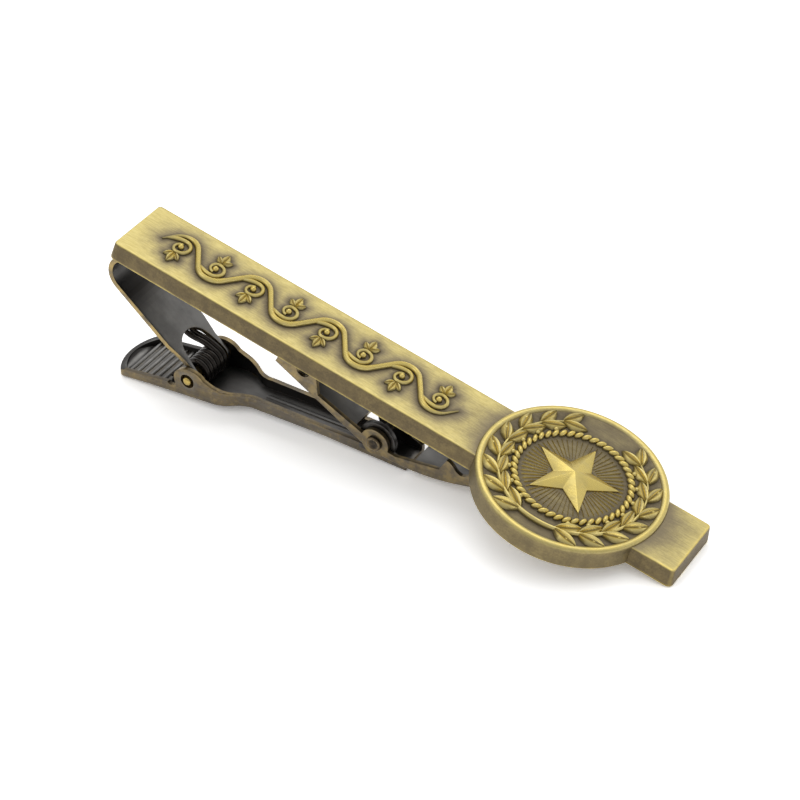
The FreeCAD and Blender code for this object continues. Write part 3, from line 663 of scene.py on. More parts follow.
def makeBarTop(bm, spec, inset, half, corner):
    # Columns of points across the top, drawn in at the rounded corners
    length, near = spec["length"], []
    for k in range(spec["cornerSteps"] + 1):
        angle = math.pi / 2 * k / spec["cornerSteps"]
        near.append((inset + corner * (1 - math.cos(angle)), half - corner + corner * math.sin(angle)))
    count = round((length - 2 * near[-1][0]) / spec["cell"])
    step = (length - 2 * near[-1][0]) / count
    middle = [(near[-1][0] + step * k, half) for k in range(1, count)]
    columns = near + middle + [(length - x, y) for x, y in reversed(near)]
    shares = [2 * k / spec["rows"] - 1 for k in range(spec["rows"] + 1)]
    grid = [[bm.verts.new((x, reach * share, barTop)) for share in shares] for x, reach in columns]
    for here, there in zip(grid, grid[1:]):
        for k in range(spec["rows"]):
            bm.faces.new((here[k], there[k], there[k + 1], here[k + 1]))
    return grid


def makeBar(spec, look, reliefSpots):
    bm = bmesh.new()
    recess, wall, edge, deep = layers(bm, "recess", "wall", "edge", "deep")
    inset, length = spec["topRound"], spec["length"]
    half, corner = spec["width"] / 2 - inset, spec["corner"] - inset
    grid = makeBarTop(bm, spec, inset, half, corner)

    # Marks on the top: dark round the relief and along the middle, a painted shadow at the relief's foot,
    # bright along the rubbed rim
    for vert in [vert for column in grid for vert in column]:
        x, y = vert.co.x, vert.co.y
        rim = min(x - inset, length - inset - x, half - abs(y))
        front = look["front"] * smooth(x - length, *look["frontSpan"])
        vert[edge] = fade(rim, look["rimFade"]) * (look["rim"] + front)
        gap = reliefSpots.find((x, y, 0))[2]
        toCrest = math.hypot(x - crestX, y) - crestPlace["radius"]
        halo = fade(gap - look["haloGap"], look["haloFade"]) * look["halo"]
        shade = fade(toCrest, look["crestFade"]) * look["crest"]
        band = look["band"] * max(0.0, 1 - (abs(y) / half) ** 3) * min(1.0, rim / look["bandFade"])
        vert[recess] = min(1.0, max(halo, shade) + band + look["frontShade"] * (x / length) ** 2)
        vert[deep] = look["foot"] * fade(gap - look["footGap"], look["footFade"])

    # Down from the rim of the top: the rounded upper edge, the drafted wall, the rounded lower edge
    loop = [column[0] for column in grid] + grid[-1][1:]
    loop += [column[-1] for column in reversed(grid[:-1])] + grid[0][-2:0:-1]

    def outward(vert):
        x, y = vert.co.x, vert.co.y
        base = Vector((min(max(x, inset + corner), length - inset - corner),
                       min(max(y, corner - half), half - corner)))
        return (Vector((x, y)) - base).normalized()

    steps, base, foot = spec["roundSteps"], spec["baseRound"], inset + spec["draft"]
    (startWear, endWear), (wallWear, roundWear, baseWear) = look["upperEdge"], look["lowerEdge"]
    # The wall mark says where the sides' painted shade goes
    levels = []  # how far out, how high, wall mark and edge mark
    for k in range(1, steps + 1):
        angle, share = math.pi / 2 * k / steps, k / steps
        rubbed = startWear + (endWear - startWear) * share
        levels.append((inset * math.sin(angle), barTop - inset * (1 - math.cos(angle)), share, rubbed))
    for k in range(1, spec["wallRows"] + 1):
        z = (barTop - inset) + (base - barTop + inset) * k / spec["wallRows"]
        rubbed = wallWear if k == spec["wallRows"] else 0.0
        levels.append((inset + spec["draft"] * (1 - z / barTop), z, 1.0, rubbed))
    curve = base * spec["baseCurve"]
    levels += [(foot - curve, curve, 1.0, roundWear), (foot - base, 0.0, 1.0, baseWear)]
    ways, rings = [outward(vert) for vert in loop], [loop]
    for out, z, side, rubbed in levels:
        spots = [(vert.co.x + way.x * out, vert.co.y + way.y * out, z) for vert, way in zip(loop, ways)]
        marks = [(side, max(rubbed, look["corner"] * abs(way.x * way.y))) for way in ways]
        rings.append(addRing(bm, (wall, edge), spots, marks))
    bridge(bm, rings)
    bm.faces.new(rings[-1])
    return objectFrom(bm, "barBody", barToPart)


# Scrolling vine raised on the bar

vine = {"start": 2.9, "bends": 8, "pitch": 4.1, "swing": 1.7, "slope": math.radians(55), "steps": 36,
        "fadeSteps": 24, "tip": 0.30, "rod": {"Radius": 0.29, "Sides": 12, "Flatten": 1.45},
        "scrollStart": -1.75, "scrollFoot": 0.35, "scrollTop": 1.05, "scrollRadii": (0.85, 0.575),
        "scrollSteps": (12, 26, 24), "scrollWidth": 0.84, "scrollTaper": 0.26, "scrollGrowth": 0.09,
        "leaf": (1.45, 0.85, 0.45, 0.1), "leafFoot": -0.85,
        "leafTurns": ((-90, 1.0), (-42, 0.78), (-138, 0.78)), "bud": (0.32, 0.32, 0.48), "budLift": 0.1}
# Rods, beads and leaves are bright on top, darker towards their foot from patina and a painted shadow, and
# dark in their veins
reliefMarks = {"foot": 0.95, "footFade": 2.1, "crownFrom": 0.38, "crownRise": 1.7, "hollow": 0.9,
               "dull": 0.35, "dullFade": 0.5}


def arc(height, radius, start, turn, steps):
    # About a point on the y axis, without the arc's first point
    turns = [polar(radius, math.radians(start + turn * k / steps)) for k in range(1, steps + 1)]
    return [(x, height + y) for x, y in turns]


def stemLine(spec):
    # The stem bends at the tops of its swing and runs straight in between
    pitch, swing, slope, steps = spec["pitch"], spec["swing"], spec["slope"], spec["steps"]
    rise = math.tan(slope)
    bend = (pitch / 2 * rise - swing) / (math.sin(slope) * rise - 1 + math.cos(slope))
    count = spec["bends"] * steps
    stem = []
    for k in range(count + 1):
        place = min(k // steps, spec["bends"] - 1)
        off = pitch * (k / steps - place - 0.5)
        onBend = abs(off) < bend * math.sin(slope)
        height = swing - bend + math.sqrt(bend ** 2 - off ** 2) if onBend else rise * (pitch / 2 - abs(off))
        share = min(1.0, k / spec["fadeSteps"], (count - k) / spec["fadeSteps"])
        width = spec["tip"] + (1 - spec["tip"]) * share
        stem.append((spec["start"] + pitch * k / steps, height * (-1) ** place, 0.0, width))
    return stem


def scrollLines(spec):
    # A scroll in each bend: a long arc up to its top, then two half turns inwards
    start, foot, top = spec["scrollStart"], spec["scrollFoot"], spec["scrollTop"]
    outer, inner = spec["scrollRadii"]
    long = (start ** 2 + (top - foot) ** 2) / (2 * (top - foot))
    reach = math.degrees(math.asin(-start / long))
    turns = ((top - long, long, 90 + reach, -reach), (top - outer, outer, 90, -180),
             (top - 2 * outer + inner, inner, -90, -180))
    scroll = [(start, foot)]
    for turn, steps in zip(turns, spec["scrollSteps"]):
        scroll += arc(*turn, steps)
    widths = []
    for k in range(len(scroll)):
        full = spec["scrollWidth"] - spec["scrollTaper"] * k / len(scroll)
        widths.append(min(full, spec["tip"] + spec["scrollGrowth"] * k))
    lines = []
    for k in range(spec["bends"]):
        middle = spec["start"] + spec["pitch"] * (k + 0.5)
        lines.append([(middle + x, y * (-1) ** k, 0.0, width) for (x, y), width in zip(scroll, widths)])
    return lines


def makeVine(spec):
    meshes = [sweep([stemLine(spec)] + scrollLines(spec), spec["rod"], barTop, castBrass)]
    leaf, bud = makeLeaf(*spec["leaf"]), makeBead(spec["bud"])
    row = {"Count": spec["bends"], "Start": spec["start"] + spec["pitch"] / 2, "Pitch": spec["pitch"],
           "Lift": barTop}
    for turn, size in spec["leafTurns"]:
        values = {"Offset": spec["leafFoot"], "Turn": math.radians(turn), "Size": size}
        meshes.append(scatter(alongTheBar, leaf, row | values))
    meshes.append(scatter(alongTheBar, bud, row | {"Offset": spec["budLift"]}))
    return joined("scrollVine", meshes, (leaf, bud))


def shadeRelief(piece, crown, look):
    recess, edge, deep = marksOf(piece.data, "recess", "edge", "deep")
    for k, vert in enumerate(piece.data.vertices):
        height = (vert.co.z - barTop) / crown
        hollow = recess[k].value
        rubbed = min(1.0, (height - look["crownFrom"]) * look["crownRise"]) * (1 - hollow)
        deep[k].value = max(0.0, look["foot"] - height * look["footFade"])
        recess[k].value = max(hollow * look["hollow"], look["dull"] - look["dullFade"] * height)
        edge[k].value = max(edge[k].value, rubbed)


def spotsOf(pieces):
    # Where relief stands on the top, seen from above
    return nearestOf([(vert.co.x, vert.co.y, 0) for piece in pieces for vert in piece.data.vertices])


vinePiece = makeVine(vine)
shadeRelief(vinePiece, vine["rod"]["Radius"] * vine["rod"]["Flatten"], reliefMarks)
barPiece = makeBar(barBody, barMarks, spotsOf([vinePiece]))
vinePiece.data.transform(barToPart)
finish(vinePiece, "bar", "cast_brass", castBrass)
finish(barPiece, "bar", "cast_brass", castBrass, "front_bar")


# Crest: plate, ring of rope, rays, star and laurel wreath

crest = {
    "ground": 0.06, "groundRadius": 7.95, "groundRings": 30, "steps": 180,
    "ropeRadius": 5.3, "ropeBeads": 46, "ropeBead": (0.56, 0.27, 0.42), "ropeTwist": 38, "ropeRings": 6,
    "rays": 60, "ray": (2.4, 0.24, 0.13), "raysFrom": 2.3,
    "starPoints": 5, "starRadius": 4.3, "starWaist": 1.85, "starRim": 0.2, "starHeight": 0.95,
    "starRoot": 0.2, "starRound": 0.09, "starRidge": 0.1,
    "wreathRadius": 6.75, "leaf": (2.8, 1.4, 0.7, 0.14), "leafLean": 24, "leafTaper": 0.12, "leafStations": 8,
    "firstAngle": 14, "lastAngle": 142, "berry": 0.25, "berryLift": 0.2, "berryOffsets": (-1.0, 0.9),
    "berryDelay": 0.6, "stem": {"Radius": 0.24, "Sides": 10, "Flatten": 1.5}, "stemLift": 0.1,
    "stemStart": -4, "stemPast": 6, "stemTaper": 0.5, "stemSteps": 60,
    # The raised rim: radius, height above the plate's ground and recess mark; then the same for the outer
    # wall and the underside, with heights from the bar's underside
    "rim": ((8.02, 0.02, 0.9), (8.10, 0.13, 0.5), (8.22, 0.22, 0.15), (8.42, 0.25, 0.0), (8.60, 0.22, 0.0),
            (8.73, 0.12, 0.1), (8.80, -0.06, 0.3)),
    "wall": ((8.81, 1.65, 0.5), (8.83, 1.45, 0.5), (8.87, 1.05, 0.5), (8.92, 0.6, 0.5), (8.96, 0.25, 0.5),
             (8.965, 0.14, 0.5), (8.93, 0.07, 0.6), (8.86, 0.04, 0.7), (6.0, 0.04, 0.8), (0.0, 0.04, 0.8)),
}
# The ground is darkest beside the relief, from patina and a painted shadow: strength away from it, more
# beside it, and how far that fades
plateMarks = {"groundRecess": (0.75, 0.25, 0.4), "groundDeep": (0.35, 0.5, 0.25), "margin": 0.05,
              "rimFrom": 1.6, "rimCrown": 8.47, "rimHalf": 0.3, "rimWear": 0.8, "wallSpan": (8.7, 0.1),
              "upperWall": 0.8, "wall": 0.85, "footWear": 0.5, "foot": (0.05, 0.2)}
# The star's root takes patina and a painted shadow; its ridges are rubbed bright
starMarks = {"root": (1.0, 0.9), "rim": 0.35, "ridge": 0.75}


def makePlate(spec, look, reliefSpots):
    top, rings, across = barTop + spec["ground"], spec["groundRings"], spec["groundRadius"]
    profile = [(across * k / rings, top, 0.0) for k in range(rings + 1)]
    profile += [(radius, top + height, hollow) for radius, height, hollow in spec["rim"]]
    plate = lathe("crestPlate", profile + list(spec["wall"]), spec["steps"], None)
    recess, edge, deep, wall = marksOf(plate.data, "recess", "edge", "deep", "wall")
    lowFoot, highFoot = look["foot"]

    def shade(gap, away, beside, reach):
        return away + beside * fade(gap, reach)

    for k, vert in enumerate(plate.data.vertices):
        spot = vert.co
        radius = math.hypot(spot.x, spot.y)
        if radius < across + look["margin"] and spot.z > barTop / 2:
            gap = reliefSpots.find((spot.x, spot.y, 0))[2]
            recess[k].value = shade(gap, *look["groundRecess"])
            deep[k].value = shade(gap, *look["groundDeep"])
        # On the rim and the outer wall below it, the wall mark paints shade
        elif spot.z > look["rimFrom"]:
            offCrown = abs(radius - look["rimCrown"]) / look["rimHalf"]
            edge[k].value = max(0.0, 1 - offCrown) * look["rimWear"]
            wall[k].value = ramp(radius, *look["wallSpan"]) * look["upperWall"]
        else:
            wall[k].value = look["wall"]
            edge[k].value = look["footWear"] if lowFoot < spot.z < highFoot else 0.0
    plate.data.transform(crestToPart)
    return plate


def makeStar(spec, look):
    bm = bmesh.new()
    recess, edge, deep = layers(bm, "recess", "edge", "deep")
    low, high, corners = [], [], 2 * spec["starPoints"]
    for k in range(corners):
        radius = spec["starWaist"] if k % 2 else spec["starRadius"]
        x, y = polar(radius, math.radians(90 + 360 / corners * k))
        low.append(bm.verts.new((x, y, barTop - spec["starRoot"])))
        high.append(bm.verts.new((x, y, barTop + spec["starRim"])))
    peak = bm.verts.new((0, 0, barTop + spec["starHeight"]))
    for vert in low:
        vert[recess], vert[deep] = look["root"]
    for vert in high:
        vert[recess] = look["rim"]
    bridge(bm, [low, high])
    for k in range(corners):
        bm.faces.new((high[k - 1], high[k], peak))
    bm.faces.new(low)
    bmesh.ops.recalc_face_normals(bm, faces=bm.faces)
    raised = [line for line in bm.edges if min(vert.co.z for vert in line.verts) > barTop]
    ridges = [line for line in raised if line.calc_face_angle() > spec["starRidge"]]
    fresh = roundEdges(bm, ridges, spec["starRound"])
    for vert in {vert for face in fresh["faces"] for vert in face.verts}:
        vert[edge] = look["ridge"]
    bmesh.ops.triangulate(bm, faces=[face for face in bm.faces if len(face.verts) > 4])
    return objectFrom(bm, "crestStar", crease=20)


def ringOf(name, pattern, count, values):
    full = {"Count": count, "Last": 2 * math.pi * (1 - 1 / count)}
    return joined(name, [scatter(roundTheCrest, pattern, full | values)], [pattern])


def makeRope(spec):
    bead = makeBead(spec["ropeBead"], math.radians(spec["ropeTwist"]), spec["ropeRings"])
    values = {"Radius": spec["ropeRadius"], "Lift": barTop + spec["ground"]}
    return ringOf("crestRope", bead, spec["ropeBeads"], values)


def makeRays(spec):
    values = {"Radius": spec["raysFrom"], "Lean": -math.pi / 2, "Lift": barTop + spec["ground"]}
    return ringOf("crestRays", makeRay(*spec["ray"]), spec["rays"], values)


def makeWreath(spec):
    leaf, berry = makeLeaf(*spec["leaf"]), makeBead((spec["berry"],) * 3)
    first, last, count = spec["firstAngle"], spec["lastAngle"], spec["leafStations"]
    ring, step, delay = spec["wreathRadius"], (last - first) / (count - 1), spec["berryDelay"]
    leaves = {"Count": count, "Radius": ring, "First": math.radians(first), "Last": math.radians(last),
              "Lift": barTop, "Taper": spec["leafTaper"]}
    berries = {"Count": count - 1, "First": math.radians(first + step * delay),
               "Last": math.radians(last + step * (delay - 1)), "Lift": barTop + spec["berryLift"]}
    start, steps = spec["stemStart"], spec["stemSteps"]
    meshes = []
    for side in (1.0, -1.0):
        for lean in (spec["leafLean"], -spec["leafLean"]):
            meshes.append(scatter(roundTheCrest, leaf, leaves | {"Side": side, "Lean": math.radians(lean)}))
        for offset in spec["berryOffsets"]:
            meshes.append(scatter(roundTheCrest, berry, berries | {"Side": side, "Radius": ring + offset}))
        stem = []
        for k in range(steps + 1):
            angle = math.radians(start + (last + spec["stemPast"] - start) * k / steps) * side - math.pi / 2
            stem.append((*polar(ring, angle), 0.0, 1.0 - spec["stemTaper"] * k / steps))
        meshes.append(sweep([stem], spec["stem"], barTop + spec["stemLift"], castBrass))
    return joined("crestWreath", meshes, (leaf, berry))


crestStar, crestRope, crestWreath = makeStar(crest, starMarks), makeRope(crest), makeWreath(crest)
shadeRelief(crestRope, crest["ropeBead"][2] + crest["ground"], reliefMarks)
shadeRelief(crestWreath, crest["leaf"][2], reliefMarks)
crestPlate = makePlate(crest, plateMarks, spotsOf([crestStar, crestRope, crestWreath]))
finish(crestPlate, "bar", "cast_brass", castBrass, "front_bar")
for piece in (crestStar, crestRope, crestWreath, makeRays(crest)):
    piece.data.transform(crestToPart)
    finish(piece, "bar", "cast_brass", castBrass)


# Bent and stamped sheet: the CAD forms with softened, rubbed edges

sheetWork = {"weld": 0.000002, "flat": math.radians(1.0), "bevel": 0.00006, "sharp": math.radians(28),
             "innerFrom": 0.9, "cell": 0.0004, "cutShift": 0.37, "cut": 0.0000005, "rub": 0.00011,
             "spacing": 0.00010}
# How far a face leans before it counts as facing that way
facing = {"side": 0.7, "inward": 0.35, "up": 0.3, "arm": 0.2, "rim": 0.4, "tail": 0.5}


def rubbedSpots(sharp, zone, spec):
    # Points along the sharp edges, apart from inside corners, which stay dark
    spots = []
    for edge in sharp:
        low, high = [vert.co.copy() for vert in edge.verts]
        middle = (low + high) / 2
        inner = []
        for face in edge.link_faces:
            beside = middle + (face.calc_center_median() - middle).normalized() * spec["bevel"]
            inner.append(zone(beside, face.normal)[0] > spec["innerFrom"])
        if not all(inner):
            count = max(1, round((high - low).length / spec["spacing"]))
            spots += [low.lerp(high, k / count) for k in range(count + 1)]
    return nearestOf(spots)


def sliceUp(bm, node, spec):
    # Even cuts along each axis, so that the marks have points to lie on
    low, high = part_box(node)
    for axis in range(3):
        normal = Vector([float(k == axis) for k in range(3)])
        for k in range(1, int((high[axis] - low[axis]) / spec["cell"]) + 1):
            place = normal * (low[axis] + spec["cell"] * (k - spec["cutShift"]))
            geometry = bm.verts[:] + bm.edges[:] + bm.faces[:]
            bmesh.ops.bisect_plane(bm, geom=geometry, dist=spec["cut"], plane_co=place, plane_no=normal)


def dressSheet(node, name, zone, reshape, spec):
    # zone gives a face's inner, rim, deep and wear marks from its middle and normal, deep being a darkening
    # that is mostly painted shade; reshape moves a point
    bm = bmesh.new()
    bm.from_mesh(frame["nodes"][node].data)
    weld(bm, spec["weld"])
    bmesh.ops.dissolve_limit(bm, angle_limit=spec["flat"], verts=bm.verts, edges=bm.edges)
    sharp = [edge for edge in bm.edges
             if len(edge.link_faces) == 2 and edge.calc_face_angle() > spec["sharp"]]
    rubbed = rubbedSpots(sharp, zone, spec)
    roundEdges(bm, sharp, spec["bevel"])
    sliceUp(bm, node, spec)
    edgeMark, deepMark = layers(bm, "edge", "deep")
    innerMark = bm.faces.layers.float.new("inner")
    zones = {face: zone(face.calc_center_median(), face.normal) for face in bm.faces}
    for face, marks in zones.items():
        face[innerMark] = marks[0]
    for vert in bm.verts:
        inners, rims, deeps, wears = zip(*[zones[face] for face in vert.link_faces])
        depths = [deep for inner, deep in zip(inners, deeps) if inner]
        vert[deepMark] = sum(depths) / len(depths) if depths else 0.0
        vert[edgeMark] = max(fade(rubbed.find(vert.co)[2], spec["rub"]) * min(wears), *rims)
    for vert in bm.verts if reshape else []:
        vert.co = reshape(vert.co)
    return objectFrom(bm, name, crease=30)


def local(matrix, centre, normal):
    back = matrix.inverted()
    return back @ centre, (back.to_3x3() @ normal).normalized()


def facesIn(spot, way):
    return way.y * math.copysign(1, spot.y) < -facing["inward"]


# Clip base: the strip under the bar, its bend, and the arm with its fork

baseForm = {"bendX": 1.5, "bendZ": -2.2, "reach": 2.4, "armAngle": -29.25, "legOut": 2.516,
            "legWidth": 0.7, "flare": 0.36, "flareReach": 2.6, "stripLow": -0.7}
# Inside the bend, under the strip and along the arm near the bend, the deep mark paints shade
baseMarks = {"side": (0.0, 0.85, 0.0, 1.0), "inside": (1.0, 0.0, 0.8, 1.0), "outside": (0.0, 0.0, 0.0, 1.0),
             "armDeep": 0.8, "armPale": 0.14, "armFade": 2.2}
armWay = wayOf(baseForm["armAngle"])
armUp = Vector((-armWay.z, 0, armWay.x))


def flareFork(point):
    # The slot widens towards the pin, so the fork's legs are narrow there
    form, spot = baseForm, barToPart.inverted() @ point
    along = -armWay.dot(spot - pinInBar)
    if along < form["flareReach"] and abs(spot.y) < form["legOut"]:
        share = smooth(form["flareReach"] - along, 0.0, form["flareReach"])
        thin = 1 - form["flare"] / form["legWidth"] * share
        spot.y = math.copysign(form["legOut"] - (form["legOut"] - abs(spot.y)) * thin, spot.y)
    return barToPart @ spot


def baseZone(centre, normal):
    form, marks = baseForm, baseMarks
    spot, way = local(barToPart, centre, normal)
    toCentre = Vector((form["bendX"] - spot.x, 0, form["bendZ"] - spot.z))
    inBend = toCentre.length < form["reach"] and spot.x < form["bendX"]
    if abs(way.y) > facing["side"]:
        return marks["side"]
    if inBend and way.dot(toCentre) > 0 or spot.z > form["stripLow"] and way.z < -facing["up"]:
        return marks["inside"]
    if not inBend and spot.z < form["stripLow"] and way.dot(armUp) > facing["arm"]:
        dark = marks["armDeep"] * (1 - (toCentre.length - form["reach"]) / marks["armFade"])
        return 1.0, 0.0, max(marks["armPale"], dark), 1.0
    return marks["outside"]


# Thumb lever: ribbed tray, ears on the pin, narrow waist, front ears for the jaw

leverForm = {"half": 3.116, "waistHalf": 1.8, "waistStart": 2.6, "waistEnd": 6.6, "sheet": 0.45, "tail": -9.1,
             "tailBulge": 1.1, "tailWall": 0.7, "tailRim": 0.6, "holeRing": 0.95, "span": 20.4,
             "ribFirst": -2.75, "ribPitch": 0.78, "ribHalf": 0.23, "ribsEnd": 0.4, "rimEnd": 0.7,
             "earHole": 0.8, "earLow": 0.76, "earBase": -1.4, "margin": 0.04}
# A span is where a mark starts and how far it takes to be full; gilt runs back along x, ring in to the hole
# The inner walls, the rib valleys, the waist's floor and the front ears are painted dark as shade
leverMarks = {"wallInside": (1.0, 0.0, 0.85, 1.0), "frontEar": (1.0, 0.0, 0.75, 0.0),
              "blackRim": (1.0, 0.0, 0.75, 0.1), "nearRim": (0.0, 0.1, 0.0, 0.5), "valley": 0.22,
              "floor": 0.55, "floorSpan": (-2.5, 3), "ring": 0.6, "ringSpan": (-1.2, 0.35), "waist": 0.3,
              "waistSpan": (5.5, 3), "rim": 0.45, "gilt": 0.34, "giltSpan": (-6.5, 5), "deep": 0.25,
              "wear": 0.65, "frontWear": 0.15, "frontSpan": (-4.5, 2.5)}


def lowerEar(point):
    # The ears on the pin are lower than they are wide
    form, spot = leverForm, leverToPart.inverted() @ point
    if spot.z > 0 and abs(spot.y) > form["waistHalf"]:
        away = smooth(math.hypot(spot.x, spot.z), form["earHole"], form["earHole"])
        spot.z *= 1 - (1 - form["earLow"]) * away
    return leverToPart @ spot


def leverZone(centre, normal):
    form, marks = leverForm, leverMarks
    spot, way = local(leverToPart, centre, normal)
    share = smooth(spot.x, form["waistStart"], form["waistEnd"] - form["waistStart"])
    half = form["half"] + (form["waistHalf"] - form["half"]) * share
    tail = form["tail"] + form["tailBulge"] * (spot.y / form["half"]) ** 2
    border = form["sheet"] + form["margin"]
    onRim = abs(spot.y) > half - border or spot.x < tail + border
    upRim = onRim and way.z > facing["rim"]
    front = ramp(spot.x - form["span"], *marks["frontSpan"])
    if facesIn(spot, way) or (way.x > facing["tail"] and spot.x < tail + form["tailWall"]):
        return marks["wallInside"]
    if way.z > facing["up"] and not onRim:
        ribs = (form["ribFirst"] - spot.x) / form["ribPitch"]
        onRibs = spot.x < form["ribFirst"] + form["ribsEnd"]
        valley = onRibs and abs(ribs - round(ribs)) * form["ribPitch"] > form["ribHalf"]
        floor = ramp(spot.x, *marks["floorSpan"])
        return 1.0, 0.0, marks["valley"] * valley + marks["floor"] * floor, 1.0
    if front == 1.0 and spot.z > form["earBase"]:
        return marks["frontEar"]
    if upRim and spot.x < form["ribFirst"] + form["rimEnd"]:
        return marks["blackRim"] if spot.y > 0 or spot.x < tail + form["tailRim"] else marks["nearRim"]
    ring = math.hypot(spot.x, spot.z) / form["holeRing"]
    grey = marks["ring"] * smooth(-ring, *marks["ringSpan"]) if abs(way.y) > facing["side"] else 0.0
    grey = max(grey, marks["waist"] * smooth(spot.x, *marks["waistSpan"]) * (1 - front))
    gilt = marks["rim"] if upRim else marks["gilt"] * smooth(-spot.x, *marks["giltSpan"])
    wear = marks["wear"] + (marks["frontWear"] - marks["wear"]) * front
    return grey, gilt * (1 - front), marks["deep"], wear


# Rocking jaw: the channel over the lever's front ears

jawForm = {"inner": 1.9, "margin": 0.03}
# Inside the channel the deep mark paints shade
jawMarks = {"inside": (1.0, 0.0, 0.3, 0.5), "outside": (0.0, 0.50, 0.0, 0.4)}


def jawZone(centre, normal):
    spot, way = local(jawToPart, centre, normal)
    between = abs(spot.y) < jawForm["inner"] + jawForm["margin"]
    hidden = between and (facesIn(spot, way) or way.z > facing["up"])
    return jawMarks["inside" if hidden else "outside"]


for node, name, body, zone, reshape in (("clip_base", "clipBase", "bar", baseZone, flareFork),
                                        ("lever", "thumbLever", "lever", leverZone, lowerEar),
                                        ("rocker_jaw", "rockerJaw", "jaw", jawZone, None)):
    finish(dressSheet(node, name, zone, reshape, sheetWork), body, "bronzed_sheet", bronzedSheet, node)


# Pins: turned about the cross axis

pivotPin = {"radius": 0.55, "neck": 0.44, "end": 3.336, "crown": 0.22, "crownCurve": 0.8, "shoulder": 0.45,
            "neckStart": 0.3, "crownSteps": 5, "steps": 36}
rivet = {
    "shank": 0.5, "head": 0.76, "seat": 2.36, "end": 2.64, "chamfer": 0.03, "rim": 0.58, "dimple": 0.20,
    "dimpleFloor": 0.16, "steps": 48,
    # The head's rounded shoulder and the dimple's lip: in from the head or the rim, down from the end, and
    # the recess mark, which paints shade
    "shoulder": ((0.0, 0.14, 0.8), (0.03, 0.07, 0.5), (0.10, 0.02, 0.25)),
    "lip": ((-0.03, 0.0, 0.1), (0.05, 0.02, 0.2), (0.12, 0.07, 0.5), (0.24, 0.14, 0.7)),
}
# Recess marks that paint shade along the shank, at the step, the neck and in the dimple
pinMarks = {"shank": 0.9, "step": 0.95, "neck": 0.3, "dimple": 0.8}
crossAxis = Matrix.Rotation(-math.pi / 2, 4, "X")


def turned(name, half, spec, toPart):
    mirrored = [(radius, -height, hollow) for radius, height, hollow in reversed(half)]
    return lathe(name, mirrored + half, spec["steps"], toPart @ crossAxis)


def makePivotPin(spec):
    radius, neck, crown, last = spec["radius"], spec["neck"], spec["crown"], spec["crownSteps"]
    foot = spec["end"] - crown
    half = [(radius, 0.0, pinMarks["shank"]), (radius, foot - spec["shoulder"], pinMarks["step"]),
            (neck, foot - spec["neckStart"], pinMarks["shank"]), (neck, foot, pinMarks["neck"])]
    for k in range(1, last + 1):
        angle = math.pi / 2 * k / last
        across = neck * math.cos(angle) ** spec["crownCurve"] if k < last else 0.0
        half.append((across, foot + crown * math.sin(angle), 0.0))
    return turned("pivotPin", half, spec, leverToPart)


def makeRivet(spec):
    shank, seat, head, end, rim = spec["shank"], spec["seat"], spec["head"], spec["end"], spec["rim"]
    chamfer, dark = spec["chamfer"], pinMarks["shank"]
    half = [(shank, 0.0, dark), (shank, seat, dark), (head - chamfer, seat, dark),
            (head, seat + chamfer, pinMarks["step"])]
    half += [(head - inwards, end - down, hollow) for inwards, down, hollow in spec["shoulder"]]
    half += [(rim - inwards, end - down, hollow) for inwards, down, hollow in spec["lip"]]
    half += [(radius, end - spec["dimple"], pinMarks["dimple"]) for radius in (spec["dimpleFloor"], 0.0)]
    return turned("rockerRivet", half, spec, jawToPart)


finish(makePivotPin(pivotPin), "bar", "bright_pin", pinBrass, "pivot_pin")
finish(makeRivet(rivet), "lever", "bronzed_rivet", rivetBronze, "rocker_pin")


# Torsion spring: close turns round the pin, one leg under the arm and one on the ribs of the tray

spring = {"rod": {"Radius": 0.27, "Sides": 14}, "coil": 1.17, "pitch": 0.57, "turns": 5, "stepsPerTurn": 32,
          "trayWay": -180.45, "trayLeg": 2.89, "traySteps": 10, "armWay": 155.0, "armLeg": 2.844,
          "armSteps": 24, "armSide": 1.36, "arch": 0.15, "hookWay": 136.3, "hook": 0.8, "hookSteps": 8,
          "loop": 0.36, "loopSteps": 12}


def springLine(spec):
    # In the lever's frame: from the tray's leg round the pin, through the arm's slot, and back from a loop
    first, last = spec["trayWay"] + 90, spec["armWay"] - 90 + 360 * spec["turns"]
    steps = round((last - first) / 360 * spec["stepsPerTurn"])
    length = spec["pitch"] * (last - first) / 360
    coil = []
    for k in range(steps + 1):
        spot = wayOf(first + (last - first) * k / steps) * spec["coil"]
        spot.y = length * (k / steps - 0.5)
        coil.append(spot)
    leg = wayOf(spec["trayWay"]) * spec["trayLeg"]
    tray = [coil[0] + leg * (1 - k / spec["traySteps"]) for k in range(spec["traySteps"])]

    heading, loop, arm = spec["armWay"], spec["loop"], []
    for k in range(1, spec["armSteps"] + 1):
        share = k / spec["armSteps"]
        spot = coil[-1] + wayOf(heading) * spec["armLeg"] * share
        spot += wayOf(heading - 90) * spec["arch"] * math.sin(math.pi * share) ** 2
        spot.y = length / 2 + (spec["armSide"] - length / 2) * smooth(share)
        arm.append(spot)
    for k in range(spec["hookSteps"]):
        heading += (spec["hookWay"] - spec["armWay"]) / spec["hookSteps"]
        arm.append(arm[-1] + wayOf(heading) * spec["hook"] / spec["hookSteps"])

    middle, turn, back = arm[-1] - Vector((0, loop, 0)), [], []
    for k in range(1, spec["loopSteps"]):
        angle = math.pi * k / spec["loopSteps"]
        turn.append(middle + wayOf(heading) * loop * math.sin(angle) + Vector((0, loop * math.cos(angle), 0)))
    for k, spot in enumerate(reversed(arm)):
        share = smooth(k / len(arm))
        y = (spec["armSide"] - 2 * loop) * (1 - share) + (length / 2 - spec["pitch"]) * share
        back.append(Vector((spot.x, y, spot.z)))  # runs down on to the next turn
    return [(*point, 1.0) for point in tray + coil + arm + turn + back], length


